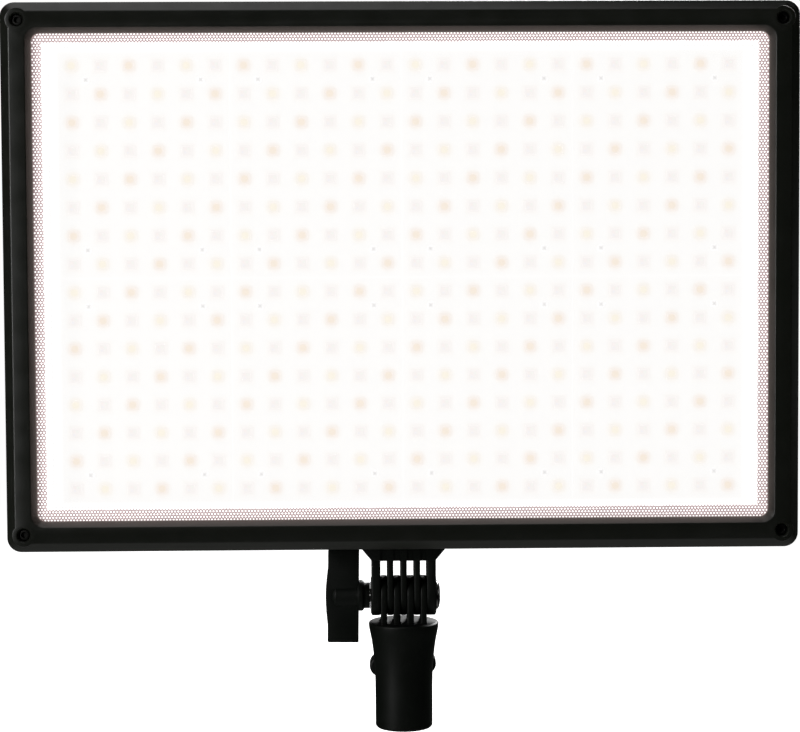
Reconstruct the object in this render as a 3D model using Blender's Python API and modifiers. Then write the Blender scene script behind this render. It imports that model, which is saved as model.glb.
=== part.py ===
"""LED panel light on a tilting stand head, as an assembly of separate pieces.

Run it with blender --background --python part.py, or from Blender's text editor.

The row frame: the origin is the centre of the stand socket's mouth, +Z runs up the socket,
the light shines towards -Y, and +X is to the right of someone looking at the lit face.
Dimensions are in millimetres and are turned into metres as each mesh is made.
"""

import math

import bmesh
import bpy
from mathutils import Matrix, Vector

MM = 0.001
GAP = 0.3  # clearance between pieces that touch or nearly touch

# Driving dimensions of the head
PANEL_WIDTH = 359.4
PANEL_HEIGHT = 247.3
PIVOT_Z = 61.5  # tilt axis above the socket's mouth
PIVOT_TO_PANEL = 24.15  # tilt axis to the head's lower edge
PANEL_BOTTOM = PIVOT_Z + PIVOT_TO_PANEL
PANEL_Z = PANEL_BOTTOM + PANEL_HEIGHT / 2
FRONT_Y = -24.0
PARTING_Y = -10.5  # the bezel's rear rim
REAR_Y = 13.0  # outside of the rear wall
REAR_WALL = 2.2
SIDE_WALL = 2.6
HOUSING_INSET = 1.0  # the housing's side, in from the bezel's
HOUSING_BOTTOM = PANEL_BOTTOM + HOUSING_INSET
CORNER_STEPS = 5

# Front: the land, the sloped lip and the sheet behind it
CHAMFER = 4.4
LAND_INNER = 11.5
LIP_INNER = 14.1
LIP_BACK_Y = -19.7
BEZEL_WALL = 3.6
OUTER_CORNER = 6.5
POST_RADIUS = 4.8
CORNER_SCREW_INSET = 8.2
BEZEL_SCREW_Y = FRONT_Y + 1.2  # the face of each corner screw's head
BEZEL_SCREW_HEAD = (2.35, 1.9)  # radius, length
BEZEL_SCREW_SHANK = (1.2, 26.0)
COUNTERBORE_RADIUS = 2.7
COUNTERBORE_DEPTH = 3.4
SCREW_HOLE = 1.7
POST_BORE = 1.5
DIFFUSER_INSET = 9.2
DIFFUSER_THICKNESS = 2.0
GASKET_THICKNESS = 1.0
GASKET_INNER = 13.0
SHEET_CORNER = 9.0

# LED array: eight boards of 6 by 8 packages
PITCH_X = 13.0
PITCH_Z = 12.85
BOARD_COLUMNS = 4
BOARD_ROWS = 2
LEDS_ACROSS = 6
LEDS_DOWN = 8
BOARD_THICKNESS = 1.6
BOARD_FRONT_Y = -8.7
BOARD_SPACING = 0.6
SPREADER_THICKNESS = 2.0
SPREADER_INSET = 14.2
SPREADER_FRONT_Y = BOARD_FRONT_Y + BOARD_THICKNESS + GAP
SPREADER_BACK_Y = SPREADER_FRONT_Y + SPREADER_THICKNESS
BAFFLE_FOOT_INSET = 16.6
# The posts that the heat spreader rests on, as (x, z) from the panel's centre
SPREADER_POSTS = ((-154, 99), (154, 99), (-154, -99), (154, -99), (0, 107), (0, -88))

# Rear controls
CONTROL_Z = PANEL_Z + 10.0
CONTROL_WIDTH = 124.0
CONTROL_HEIGHT = 66.0
CONTROL_THICKNESS = 2.5
CONTROL_FRONT_Y = REAR_Y + GAP  # its inner face, lying on the rear wall
KNOB_X = 45.0
DISPLAY_Z = CONTROL_Z + 12.0
WINDOW_WIDTH = 54.0
WINDOW_HEIGHT = 26.0
RIM_WIDTH = CONTROL_WIDTH - 10.0  # the opening that the panel's locating rim sits in
RIM_HEIGHT = CONTROL_HEIGHT - 8.0
BUTTON_X = 16.0
BUTTON_Z = CONTROL_Z - 20.0
SLOT_WIDTH = 11.0
SLOT_HEIGHT = 6.0
CONTROL_BOARD_Y = 2.2
CONTROL_BOARD_WIDTH = 110.0
CONTROL_BOARD_HEIGHT = 50.0
TACT_TOP_Y = 10.3
ENCODER_HALF = 6.0
SHAFT_RADIUS = 2.9
SHAFT_TIP_Y = 24.6
INNER_Y = 2.0  # how far in the socket and the switch reach
SOCKET_Z = PANEL_Z - 50.0
SOCKET_X = -30.0
SOCKET_BODY = 5.4
SWITCH_X = 30.0
SWITCH_WIDTH = 18.0
SWITCH_HEIGHT = 24.0
SWITCH_BODY_WIDTH = 14.6
SWITCH_BODY_HEIGHT = 20.4
SWITCH_PIVOT_Y = 11.0
SWITCH_LEAN = 8.0  # degrees that the rocker leans at rest

# Driver board and vents
DRIVER_BOARD_Y = -1.6
DRIVER_Z = PANEL_Z + 78.0
DRIVER_WIDTH = 150.0
DRIVER_HEIGHT = 40.0
CHOKE_X = (-52.0, -34.0, -16.0)
CAPACITOR_X = (8.0, 19.0, 30.0, 41.0)
CHIP_X = (-45.0, -20.0, 20.0, 45.0)
LEAD_RADIUS = 1.3
VENT_BANKS = (
    # low x, high x, first z, rows
    (22.0, 106.0, PANEL_Z + 65.5, 5),
    (66.0, 140.0, PANEL_Z - 81.5, 4),
)
VENT_PITCH = 6.5
VENT_HEIGHT = 3.0

# Battery plates
BATTERY_X = 118.0
BATTERY_Z = PANEL_Z + 4.0
BATTERY_WIDTH = 44.0
BATTERY_HEIGHT = 78.0
BATTERY_BASE = 3.2
RAIL_TOP_Y = 22.0
CONTACT_Z = BATTERY_Z + 31.0
CONTACT_SPACING = 6.0
LATCH_Z = BATTERY_Z - 31.0
LATCH_WIDTH = 12.0
LATCH_HEIGHT = 8.0
FLANGE = 2.6  # how much wider than its cap a latch's flange is
FLANGE_THICKNESS = 1.4

# Tilt head
DISC_RADIUS = 9.3
FINGER_ROOT_Z = PIVOT_Z + 17.2
FINGER_BASE = 8.2  # half the depth of a finger where it leaves the foot or the cup
HEAD_HALF_WIDTH = 14.6
OUTER_FINGER_IN = 10.7
UPPER_FINGER = 2.9
UPPER_FINGER_X = (-6.2, 0.0, 6.2)
LOWER_FINGERS = ((-9.175, 2.45), (-3.1, 2.7), (3.1, 2.7), (9.175, 2.45))
BOLT_RADIUS = 3.0
INSERT_RADIUS = 4.0
BOLT_HOLE = BOLT_RADIUS + GAP
FOOT_HALF_WIDTH = 21.0
FOOT_HALF_DEPTH = 9.0
FOOT_TOP = HOUSING_BOTTOM - GAP
FOOT_SCREWS = ((-12.5, 0.0), (12.5, 0.0))
FOOT_SCREW_DEPTH = 6.0
FOOT_SCREW_HOLE = 2.3
FOOT_SCREW_HEAD = (3.4, 2.6)
FOOT_PLATE_THICKNESS = 3.0
WASHER_THICKNESS = 0.6
TEE_INNER_X = -20.8
TEE_OUTER_X = -35.1
TEE_HALF = 21.6
TEE_BULGE = 1.0
TEE_BULGE_HALF = 13.6
TEE_HALF_DEPTH = 4.3

# Stand receiver, for a 16 mm (5/8 inch) stand spigot
SOCKET_RADIUS = 8.2
SOCKET_DEPTH = 40.0
RIM_Z = PIVOT_Z - 12.2
LOCK_Z = 24.0
LOCK_ANGLE = 2.7  # degrees that the wing knob stands off level
LOCK_RADIUS = 2.5
LOCK_HOLE = 3.8
WING_HALF = 15.9
WING_END = 5.1

ROUND_STEPS = 24
SMALL_STEPS = 8
SCREW_STEPS = 12

COLLECTION = bpy.data.collections.new("led_panel_light")
TOOLS = bpy.data.collections.new("cutters_and_joined_shapes")
MATERIALS = {}

# What stays on the stand while the rest tilts
STAND_SIDE = ("stand_receiver", "lock_insert", "lock_pad", "lock_knob", "lock_screw")

# name: (red, green, blue), roughness, metallic, emission strength
FINISHES = {
    "black_plastic": ((0.020, 0.021, 0.019), 0.42, 0.0, 0.0),
    "black_nylon": ((0.014, 0.015, 0.014), 0.50, 0.0, 0.0),
    "grey_baffle": ((0.33, 0.27, 0.26), 0.6, 0.0, 0.0),
    "black_foam": ((0.03, 0.03, 0.03), 0.95, 0.0, 0.0),
    "microlens_sheet": ((0.95, 0.95, 0.94), 0.25, 0.0, 1.0),
    "white_board": ((0.86, 0.86, 0.84), 0.45, 0.0, 0.0),
    "green_board": ((0.02, 0.12, 0.06), 0.40, 0.0, 0.0),
    "aluminium": ((0.72, 0.73, 0.74), 0.40, 1.0, 0.0),
    "steel": ((0.55, 0.55, 0.54), 0.30, 1.0, 0.0),
    "brass": ((0.72, 0.55, 0.25), 0.30, 1.0, 0.0),
    "black_component": ((0.03, 0.03, 0.035), 0.45, 0.0, 0.0),
    "display_glass": ((0.01, 0.012, 0.014), 0.08, 0.0, 0.0),
    "soft_knob": ((0.025, 0.025, 0.025), 0.62, 0.0, 0.0),
    "wire_sleeve": ((0.05, 0.05, 0.06), 0.55, 0.0, 0.0),
}


# Scene and materials


def clear_scene():
    for obj in list(bpy.data.objects):
        bpy.data.objects.remove(obj)
    for collection in (COLLECTION, TOOLS):
        bpy.context.scene.collection.children.link(collection)


def finish(name):
    """The Principled material of that name, made once."""
    if name not in MATERIALS:
        colour, roughness, metallic, glow = FINISHES[name]
        material = bpy.data.materials.new(name)
        material.use_nodes = True
        shader = material.node_tree.nodes["Principled BSDF"]
        shader.inputs["Base Color"].default_value = (*colour, 1.0)
        shader.inputs["Roughness"].default_value = roughness
        shader.inputs["Metallic"].default_value = metallic
        shader.inputs["Emission Color"].default_value = (*colour, 1.0)
        shader.inputs["Emission Strength"].default_value = glow
        MATERIALS[name] = material
    return MATERIALS[name]


def add_object(name, mesh, finish_name=None):
    """A part of that finish or, with none, a shape that only cuts or joins."""
    obj = bpy.data.objects.new(name, mesh)
    if finish_name:
        COLLECTION.objects.link(obj)
        mesh.materials.append(finish(finish_name))
    else:
        TOOLS.objects.link(obj)
        obj.hide_render = True
        obj.display_type = "WIRE"
    return obj


def mesh_from(name, bm):
    bmesh.ops.recalc_face_normals(bm, faces=bm.faces)
    mesh = bpy.data.meshes.new(name)
    bm.to_mesh(mesh)
    bm.free()
    mesh.shade_smooth()
    mesh.set_sharp_from_angle(angle=math.radians(35))
    return mesh


def move_origin(obj, point):
    """Puts the object's origin on its joint's axis, and leaves its shape where it is."""
    offset = Vector(point) * MM
    obj.data.transform(Matrix.Translation(-offset))
    obj.location = offset
    return obj


# Shapes


def towards(direction):
    """The rotation that turns +Z to that direction."""
    return Vector(direction).to_track_quat("Z", "Y").to_matrix().to_4x4()


def box(name, low, high, finish_name=None):
    bm = bmesh.new()
    bmesh.ops.create_cube(bm, size=1.0)
    size = [(b - a) * MM for a, b in zip(low, high)]
    centre = [(b + a) / 2 * MM for a, b in zip(low, high)]
    place = Matrix.Translation(centre) @ Matrix.Diagonal((*size, 1.0))
    bmesh.ops.transform(bm, matrix=place, verts=bm.verts)
    return add_object(name, mesh_from(name, bm), finish_name)


def rod(name, radius, start, end, finish_name=None, steps=ROUND_STEPS):
    """A cylinder between two points."""
    start, end = Vector(start) * MM, Vector(end) * MM
    bm = bmesh.new()
    wide = radius * MM
    length = (end - start).length
    bmesh.ops.create_cone(bm, cap_ends=True, segments=steps, radius1=wide, radius2=wide, depth=length)
    place = Matrix.Translation((start + end) / 2) @ towards(end - start)
    bmesh.ops.transform(bm, matrix=place, verts=bm.verts)
    return add_object(name, mesh_from(name, bm), finish_name)


def turned(name, profile, origin, direction, finish_name=None, steps=ROUND_STEPS, hollow=False):
    """A profile of (radius, distance along the axis), far end first, turned about the axis."""
    bm = bmesh.new()
    points = [bm.verts.new((radius * MM, 0.0, along * MM)) for radius, along in profile]
    following = points[1:] + (points[:1] if hollow else [])
    for first, second in zip(points, following):
        bm.edges.new((first, second))
    mesh = bpy.data.meshes.new(name)
    bm.to_mesh(mesh)
    bm.free()
    obj = add_object(name, mesh, finish_name)
    obj.location = Vector(origin) * MM
    obj.rotation_euler = towards(direction).to_euler()
    screw = obj.modifiers.new("turn", "SCREW")
    screw.axis = "Z"
    screw.steps = steps
    screw.render_steps = steps
    screw.use_merge_vertices = True
    screw.merge_threshold = 1e-6
    screw.use_smooth_shade = True
    return obj


def rounded_rectangle(width, height, radius, centre=(0.0, 0.0), steps=CORNER_STEPS):
    """Outline points, anticlockwise, with an arc at each corner."""
    points = []
    for corner in range(4):
        across = width / 2 - radius
        up = height / 2 - radius
        centre_u = centre[0] + (across if corner in (0, 3) else -across)
        centre_v = centre[1] + (up if corner in (0, 1) else -up)
        for step in range(steps + 1):
            angle = math.pi / 2 * (corner + step / steps)
            points.append((centre_u + radius * math.cos(angle), centre_v + radius * math.sin(angle)))
    return points


def rectangle(width, height, centre=(0.0, 0.0)):
    u, v = centre
    return [
        (u + width / 2, v + height / 2),
        (u - width / 2, v + height / 2),
        (u - width / 2, v - height / 2),
        (u + width / 2, v - height / 2),
    ]


def circle(radius, centre=(0.0, 0.0), steps=SMALL_STEPS):
    u, v = centre
    angles = [2 * math.pi * step / steps for step in range(steps)]
    return [(u + radius * math.cos(a), v + radius * math.sin(a)) for a in angles]


# How a prism's outline (u, v) and its depth w map to X, Y, Z, for each axis that it runs along
PRISM_FRAMES = {
    "x": Matrix(((0, 0, 1, 0), (1, 0, 0, 0), (0, 1, 0, 0), (0, 0, 0, 1))),
    "y": Matrix(((1, 0, 0, 0), (0, 0, -1, 0), (0, 1, 0, 0), (0, 0, 0, 1))),
    "z": Matrix.Identity(4),
}


def prism(name, outlines, start, end, axis, finish_name=None):
    """A flat outline and its holes, extruded from start to end along an axis.

    The outline is in (Y, Z) for axis x, (X, Z) for axis y and (X, Y) for axis z.
    """
    curve = bpy.data.curves.new(name, "CURVE")
    curve.dimensions = "2D"
    curve.fill_mode = "BOTH"
    curve.extrude = (end - start) / 2 * MM
    for outline in outlines:
        spline = curve.splines.new("POLY")
        spline.points.add(len(outline) - 1)
        spline.use_cyclic_u = True
        for point, (u, v) in zip(spline.points, outline):
            point.co = (u * MM, v * MM, 0.0, 1.0)
    flat = bpy.data.objects.new(name, curve)
    TOOLS.objects.link(flat)
    graph = bpy.context.evaluated_depsgraph_get()
    mesh = bpy.data.meshes.new_from_object(flat.evaluated_get(graph))
    bpy.data.objects.remove(flat)
    bm = bmesh.new()
    bm.from_mesh(mesh)
    bmesh.ops.remove_doubles(bm, verts=bm.verts, dist=1e-6)
    middle = (start + end) / 2 * MM * (-1 if axis == "y" else 1)
    place = PRISM_FRAMES[axis] @ Matrix.Translation((0.0, 0.0, middle))
    bmesh.ops.transform(bm, matrix=place, verts=bm.verts)
    return add_object(name, mesh_from(name, bm), finish_name)


def panel_loft(name, sections, ring, finish_name):
    """Rounded rectangles at (inset from the panel's edge, y, corner radius), joined in order.

    A ring joins the last back to the first. Otherwise both ends are closed with a face.
    """
    bm = bmesh.new()
    loops = []
    for inset, y, radius in sections:
        outline = rounded_rectangle(PANEL_WIDTH - 2 * inset, PANEL_HEIGHT - 2 * inset, radius)
        loops.append([bm.verts.new((u * MM, y * MM, (v + PANEL_Z) * MM)) for u, v in outline])
    following = loops[1:] + (loops[:1] if ring else [])
    for first, second in zip(loops, following):
        for a, b, c, d in zip(first, first[1:] + first[:1], second[1:] + second[:1], second):
            bm.faces.new((a, b, c, d))
    if not ring:
        bm.faces.new(loops[0])
        bm.faces.new(loops[-1])
    return add_object(name, mesh_from(name, bm), finish_name)


def copies(name, source, places):
    """Copies of one shape in one object, to cut or to join, with the source shape removed."""
    graph = bpy.context.evaluated_depsgraph_get()
    pattern = bpy.data.meshes.new_from_object(source.evaluated_get(graph))
    pattern.transform(source.matrix_world)
    bm = bmesh.new()
    for place in places:
        before = len(bm.verts)
        bm.from_mesh(pattern)
        bm.verts.ensure_lookup_table()
        bmesh.ops.translate(bm, vec=Vector(place) * MM, verts=bm.verts[before:])
    bpy.data.objects.remove(source)
    return add_object(name, mesh_from(name, bm))


def tube(name, points, radius, finish_name, roundness=1):
    """A wire through those points."""
    curve = bpy.data.curves.new(name, "CURVE")
    curve.dimensions = "3D"
    curve.bevel_depth = radius * MM
    curve.bevel_resolution = roundness
    curve.use_fill_caps = True
    spline = curve.splines.new("POLY")
    spline.points.add(len(points) - 1)
    for point, place in zip(spline.points, points):
        point.co = (*(Vector(place) * MM), 1.0)
    curve.materials.append(finish(finish_name))
    obj = bpy.data.objects.new(name, curve)
    COLLECTION.objects.link(obj)
    return obj


def smooth_route(route, steps=4):
    """Points of a Catmull-Rom curve through the route's points."""
    points = [Vector(p) for p in route]
    padded = [2 * points[0] - points[1], *points, 2 * points[-1] - points[-2]]
    smooth = []
    for a, b, c, d in zip(padded, padded[1:], padded[2:], padded[3:]):
        for step in range(steps):
            t = step / steps
            quadratic = 2 * a - 5 * b + 4 * c - d
            cubic = 3 * b - a - 3 * c + d
            smooth.append(0.5 * (2 * b + (c - a) * t + quadratic * t**2 + cubic * t**3))
    return [*smooth, points[-1]]


def combine(target, operation, *others):
    for other in others:
        modifier = target.modifiers.new(operation.lower(), "BOOLEAN")
        modifier.operation = operation
        modifier.solver = "EXACT"
        modifier.object = other
    return target


def cut(target, *cutters):
    return combine(target, "DIFFERENCE", *cutters)


def join(target, *others):
    return combine(target, "UNION", *others)


def corner_places(inset):
    """The four points that far in from both of the panel's edges, as (x, z)."""
    x = PANEL_WIDTH / 2 - inset
    z = PANEL_HEIGHT / 2 - inset
    return [(sx * x, PANEL_Z + sz * z) for sx in (-1, 1) for sz in (-1, 1)]


def cap_screw(name, head, direction, head_size, shank_size):
    """A screw from the outer face of its head, with (radius, length) for head and shank."""
    head_radius, head_length = head_size
    shank_radius, shank_length = shank_size
    end = head_length + shank_length
    profile = [(0, end), (shank_radius, end), (shank_radius, head_length), (head_radius, head_length)]
    profile += [(head_radius, 0), (0, 0)]
    return turned(name, profile, head, direction, "steel", steps=SCREW_STEPS)


# Front of the head


def make_front():
    bezel = panel_loft(
        "front_bezel",
        [
            (0.0, PARTING_Y, OUTER_CORNER),
            (0.0, FRONT_Y + CHAMFER - 0.1, OUTER_CORNER),
            (CHAMFER, FRONT_Y, 3.2),
            (LAND_INNER, FRONT_Y, 5.8),
            (LIP_INNER, LIP_BACK_Y - 1.2, 3.8),
            (LIP_INNER, LIP_BACK_Y, 3.8),
            (BEZEL_WALL, LIP_BACK_Y, 3.2),
            (BEZEL_WALL, PARTING_Y, 3.2),
        ],
        True,
        "black_plastic",
    )
    corners = [(x, 0.0, z) for x, z in corner_places(CORNER_SCREW_INSET)]
    post = rod("post", POST_RADIUS, (0, FRONT_Y + 0.2, 0), (0, PARTING_Y - 0.3, 0), steps=20)
    bottom = (0, FRONT_Y + COUNTERBORE_DEPTH, 0)
    counterbore = rod("counterbore", COUNTERBORE_RADIUS, (0, FRONT_Y - 1, 0), bottom, steps=16)
    hole = rod("hole", SCREW_HOLE, (0, FRONT_Y, 0), (0, PARTING_Y + 1, 0))
    join(bezel, copies("bezel_posts", post, corners))
    cut(bezel, copies("bezel_counterbores", counterbore, corners), copies("bezel_holes", hole, corners))
    for number, (x, z) in enumerate(corner_places(CORNER_SCREW_INSET)):
        place = (x, BEZEL_SCREW_Y, z)
        cap_screw(f"bezel_screw_{number + 1}", place, (0, 1, 0), BEZEL_SCREW_HEAD, BEZEL_SCREW_SHANK)

    sheet_front = LIP_BACK_Y + GAP
    sheet_back = sheet_front + DIFFUSER_THICKNESS
    width = PANEL_WIDTH - 2 * DIFFUSER_INSET
    height = PANEL_HEIGHT - 2 * DIFFUSER_INSET
    outline = rounded_rectangle(width, height, SHEET_CORNER, (0.0, PANEL_Z))
    prism("diffuser_panel", [outline], sheet_front, sheet_back, "y", "microlens_sheet")
    gasket_front = sheet_back + GAP
    gasket_back = gasket_front + GASKET_THICKNESS
    frame_inset = DIFFUSER_INSET + GAP
    panel_loft(
        "diffuser_gasket",
        [
            (frame_inset, gasket_front, SHEET_CORNER),
            (frame_inset, gasket_back, SHEET_CORNER),
            (GASKET_INNER, gasket_back, 5.0),
            (GASKET_INNER, gasket_front, 5.0),
        ],
        True,
        "black_foam",
    )
    baffle_back = SPREADER_FRONT_Y - GAP
    panel_loft(
        "baffle_frame",
        [
            (frame_inset, gasket_back + GAP, SHEET_CORNER),
            (frame_inset, baffle_back, SHEET_CORNER),
            (BAFFLE_FOOT_INSET, baffle_back, 3.0),
            (LIP_INNER, gasket_back + GAP, 4.5),
        ],
        True,
        "grey_baffle",
    )


# LED array and heat spreader


def board_centres():
    """The centre (x, z) of each LED board, row by row from the top left."""
    width = LEDS_ACROSS * PITCH_X
    height = LEDS_DOWN * PITCH_Z
    for row in range(BOARD_ROWS):
        for column in range(BOARD_COLUMNS):
            x = (column - (BOARD_COLUMNS - 1) / 2) * width
            z = PANEL_Z - (row - (BOARD_ROWS - 1) / 2) * height
            yield x, z


def board_screw_places():
    """The four screws of each board stand between its two outermost rows and columns."""
    reach_x = (LEDS_ACROSS / 2 - 1) * PITCH_X
    reach_z = (LEDS_DOWN / 2 - 1) * PITCH_Z
    for x, z in board_centres():
        for sx in (-1, 1):
            for sz in (-1, 1):
                yield x + sx * reach_x, z + sz * reach_z


def make_array():
    width = LEDS_ACROSS * PITCH_X - BOARD_SPACING
    height = LEDS_DOWN * PITCH_Z - BOARD_SPACING
    holes = [circle(1.3, place) for place in board_screw_places()]
    for number, (x, z) in enumerate(board_centres()):
        outline = rectangle(width, height, (x, z))
        own = holes[4 * number : 4 * number + 4]
        back = BOARD_FRONT_Y + BOARD_THICKNESS
        prism(f"led_board_{number + 1}", [outline, *own], BOARD_FRONT_Y, back, "y", "white_board")
    spreader = rounded_rectangle(
        PANEL_WIDTH - 2 * SPREADER_INSET, PANEL_HEIGHT - 2 * SPREADER_INSET, 6.0, (0.0, PANEL_Z)
    )
    prism("heat_spreader", [spreader], SPREADER_FRONT_Y, SPREADER_BACK_Y, "y", "aluminium")


# Rear housing


def support_posts():
    """Posts on the rear wall: six that the heat spreader rests on, and four for the driver board."""
    wall = REAR_Y - REAR_WALL + 0.5
    spreader = rod("post", 3.5, (0, SPREADER_BACK_Y + GAP, 0), (0, wall, 0), steps=SCREW_STEPS)
    posts = copies("spreader_posts", spreader, [(x, 0.0, PANEL_Z + z) for x, z in SPREADER_POSTS])
    board_back = DRIVER_BOARD_Y + BOARD_THICKNESS
    driver = rod("post", 2.4, (0, board_back + GAP, 0), (0, wall, 0), steps=SMALL_STEPS)
    places = [(x, 0.0, DRIVER_Z + z) for x in (-70.0, 70.0) for z in (-17.5, 17.5)]
    return merge_into(posts, copies("driver_posts", driver, places))


def battery_screw_places(side):
    across = BATTERY_WIDTH / 2 - 8.5
    return [(side * BATTERY_X + sx * across, BATTERY_Z + dz) for sx in (-1, 1) for dz in (-21.0, 21.0)]


def merge_into(obj, other):
    """Adds the other object's separate solids to this one."""
    bm = bmesh.new()
    bm.from_mesh(obj.data)
    bm.from_mesh(other.data)
    bm.to_mesh(obj.data)
    bm.free()
    bpy.data.objects.remove(other)
    return obj


def vent_cutters():
    slots = []
    for low_x, high_x, first_z, rows in VENT_BANKS:
        slot = box("slot", (low_x, REAR_Y - 4, -VENT_HEIGHT / 2), (high_x, REAR_Y + 2, VENT_HEIGHT / 2))
        mirrored = low_x + high_x
        places = []
        for row in range(rows):
            z = first_z + row * VENT_PITCH
            places += [(0.0, 0.0, z), (-mirrored, 0.0, z)]
        slots.append(copies("vent_slots", slot, places))
    return merge_into(*slots)


def rear_hole(name, outlines):
    """A cutter through the rear wall."""
    return prism(name, outlines, REAR_Y - REAR_WALL - 2, REAR_Y + 2, "y")


def make_housing():
    inner = HOUSING_INSET + SIDE_WALL
    housing = panel_loft(
        "rear_housing",
        [
            (inner, REAR_Y - REAR_WALL, 3.2),
            (inner, PARTING_Y + GAP, 3.2),
            (HOUSING_INSET, PARTING_Y + GAP, 5.5),
            (HOUSING_INSET, REAR_Y - 4.5, 5.5),
            (HOUSING_INSET + 4.5, REAR_Y, 2.5),
        ],
        False,
        "black_plastic",
    )
    corners = [(x, 0.0, z) for x, z in corner_places(CORNER_SCREW_INSET)]
    post = rod("post", POST_RADIUS, (0, PARTING_Y + 0.6, 0), (0, REAR_Y - 1.2, 0), steps=20)
    bore = rod("bore", POST_BORE, (0, PARTING_Y - 2, 0), (0, 6.5, 0), steps=SMALL_STEPS)
    join(housing, copies("housing_posts", post, corners), support_posts())
    holes = [circle(SCREW_HOLE, place) for side in (-1, 1) for place in battery_screw_places(side)]
    window = rectangle(RIM_WIDTH, RIM_HEIGHT, (0.0, CONTROL_Z))
    switch = rectangle(SWITCH_BODY_WIDTH + 2 * GAP, SWITCH_BODY_HEIGHT + 2 * GAP, (SWITCH_X, SOCKET_Z))
    socket = circle(SOCKET_BODY + GAP + 0.1, (SOCKET_X, SOCKET_Z), steps=16)
    latch_width, latch_height = LATCH_WIDTH + FLANGE + 0.8, LATCH_HEIGHT + FLANGE + 0.8
    latches = [rectangle(latch_width, latch_height, (side * BATTERY_X, LATCH_Z)) for side in (-1, 1)]
    contacts = [rectangle(20.0, 6.0, (side * BATTERY_X, CONTACT_Z)) for side in (-1, 1)]
    cut(
        housing,
        copies("housing_bores", bore, corners),
        vent_cutters(),
        rear_hole("rear_holes", [*holes, window, switch, socket, *latches, *contacts]),
        foot_screw_holes(HOUSING_BOTTOM - 2, HOUSING_BOTTOM + SIDE_WALL + 2),
    )


def foot_screw_holes(start, end):
    outlines = [circle(FOOT_SCREW_HOLE, place) for place in FOOT_SCREWS]
    return prism("foot_screw_holes", outlines, start, end, "z")


# Driver electronics and rear controls


def make_driver():
    """The driver board, with the chokes, capacitors and chips that are soldered to it."""
    back = DRIVER_BOARD_Y + BOARD_THICKNESS
    outline = rectangle(DRIVER_WIDTH, DRIVER_HEIGHT, (0.0, DRIVER_Z))
    board = prism("driver_board", [outline], DRIVER_BOARD_Y, back, "y", "green_board")
    root = back - 0.5
    ring = [(6.2, back + 6.0), (6.2, root), (2.4, root), (2.4, back + 6.0)]
    choke = turned("choke", ring, (0, 0, 0), (0, 1, 0), steps=12, hollow=True)
    capacitor = rod("capacitor", 4.0, (0, root, 0), (0, back + 9.0, 0), steps=12)
    chip = box("chip", (-5, root, -4), (5, back + 2.0, 4))
    join(
        board,
        copies("chokes", choke, [(x, 0.0, DRIVER_Z + 6.0) for x in CHOKE_X]),
        copies("capacitors", capacitor, [(x, 0.0, DRIVER_Z + 8.0) for x in CAPACITOR_X]),
        copies("chips", chip, [(x, 0.0, DRIVER_Z - 9.0) for x in CHIP_X]),
    )


def make_leads():
    """Leads from the driver board's lower edge to the control board, the sockets and the batteries."""
    edge_z = DRIVER_Z - DRIVER_HEIGHT / 2 - 2.0
    control = [
        (-14, -1, edge_z),
        (-14, -0.8, edge_z - 4),
        (-14, 1.5, edge_z - 12),
        (-14, 2.8, CONTROL_Z + 27.5),
    ]
    tube("control_lead", smooth_route(control), LEAD_RADIUS, "wire_sleeve")
    power = [
        (-62, -1, edge_z),
        (-66, -1, edge_z - 12),
        (-68, -1, CONTROL_Z),
        (-62, -1, SOCKET_Z + 14),
        (-46, -1, SOCKET_Z + 3),
        (SOCKET_X, -1, SOCKET_Z),
        (SOCKET_X + 10, -1, SOCKET_Z - 1),
    ]
    tube("power_lead", smooth_route(power), LEAD_RADIUS, "wire_sleeve")
    for side_name, side in (("left", -1), ("right", 1)):
        battery = [
            (side * 66, -1, edge_z),
            (side * 74, 0, edge_z - 5),
            (side * 92, 2, edge_z - 9),
            (side * 108, 4, edge_z - 13),
            (side * (BATTERY_X - 1), 4.5, BATTERY_Z + 37),
        ]
        tube("battery_lead_" + side_name, smooth_route(battery), LEAD_RADIUS, "wire_sleeve")


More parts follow.
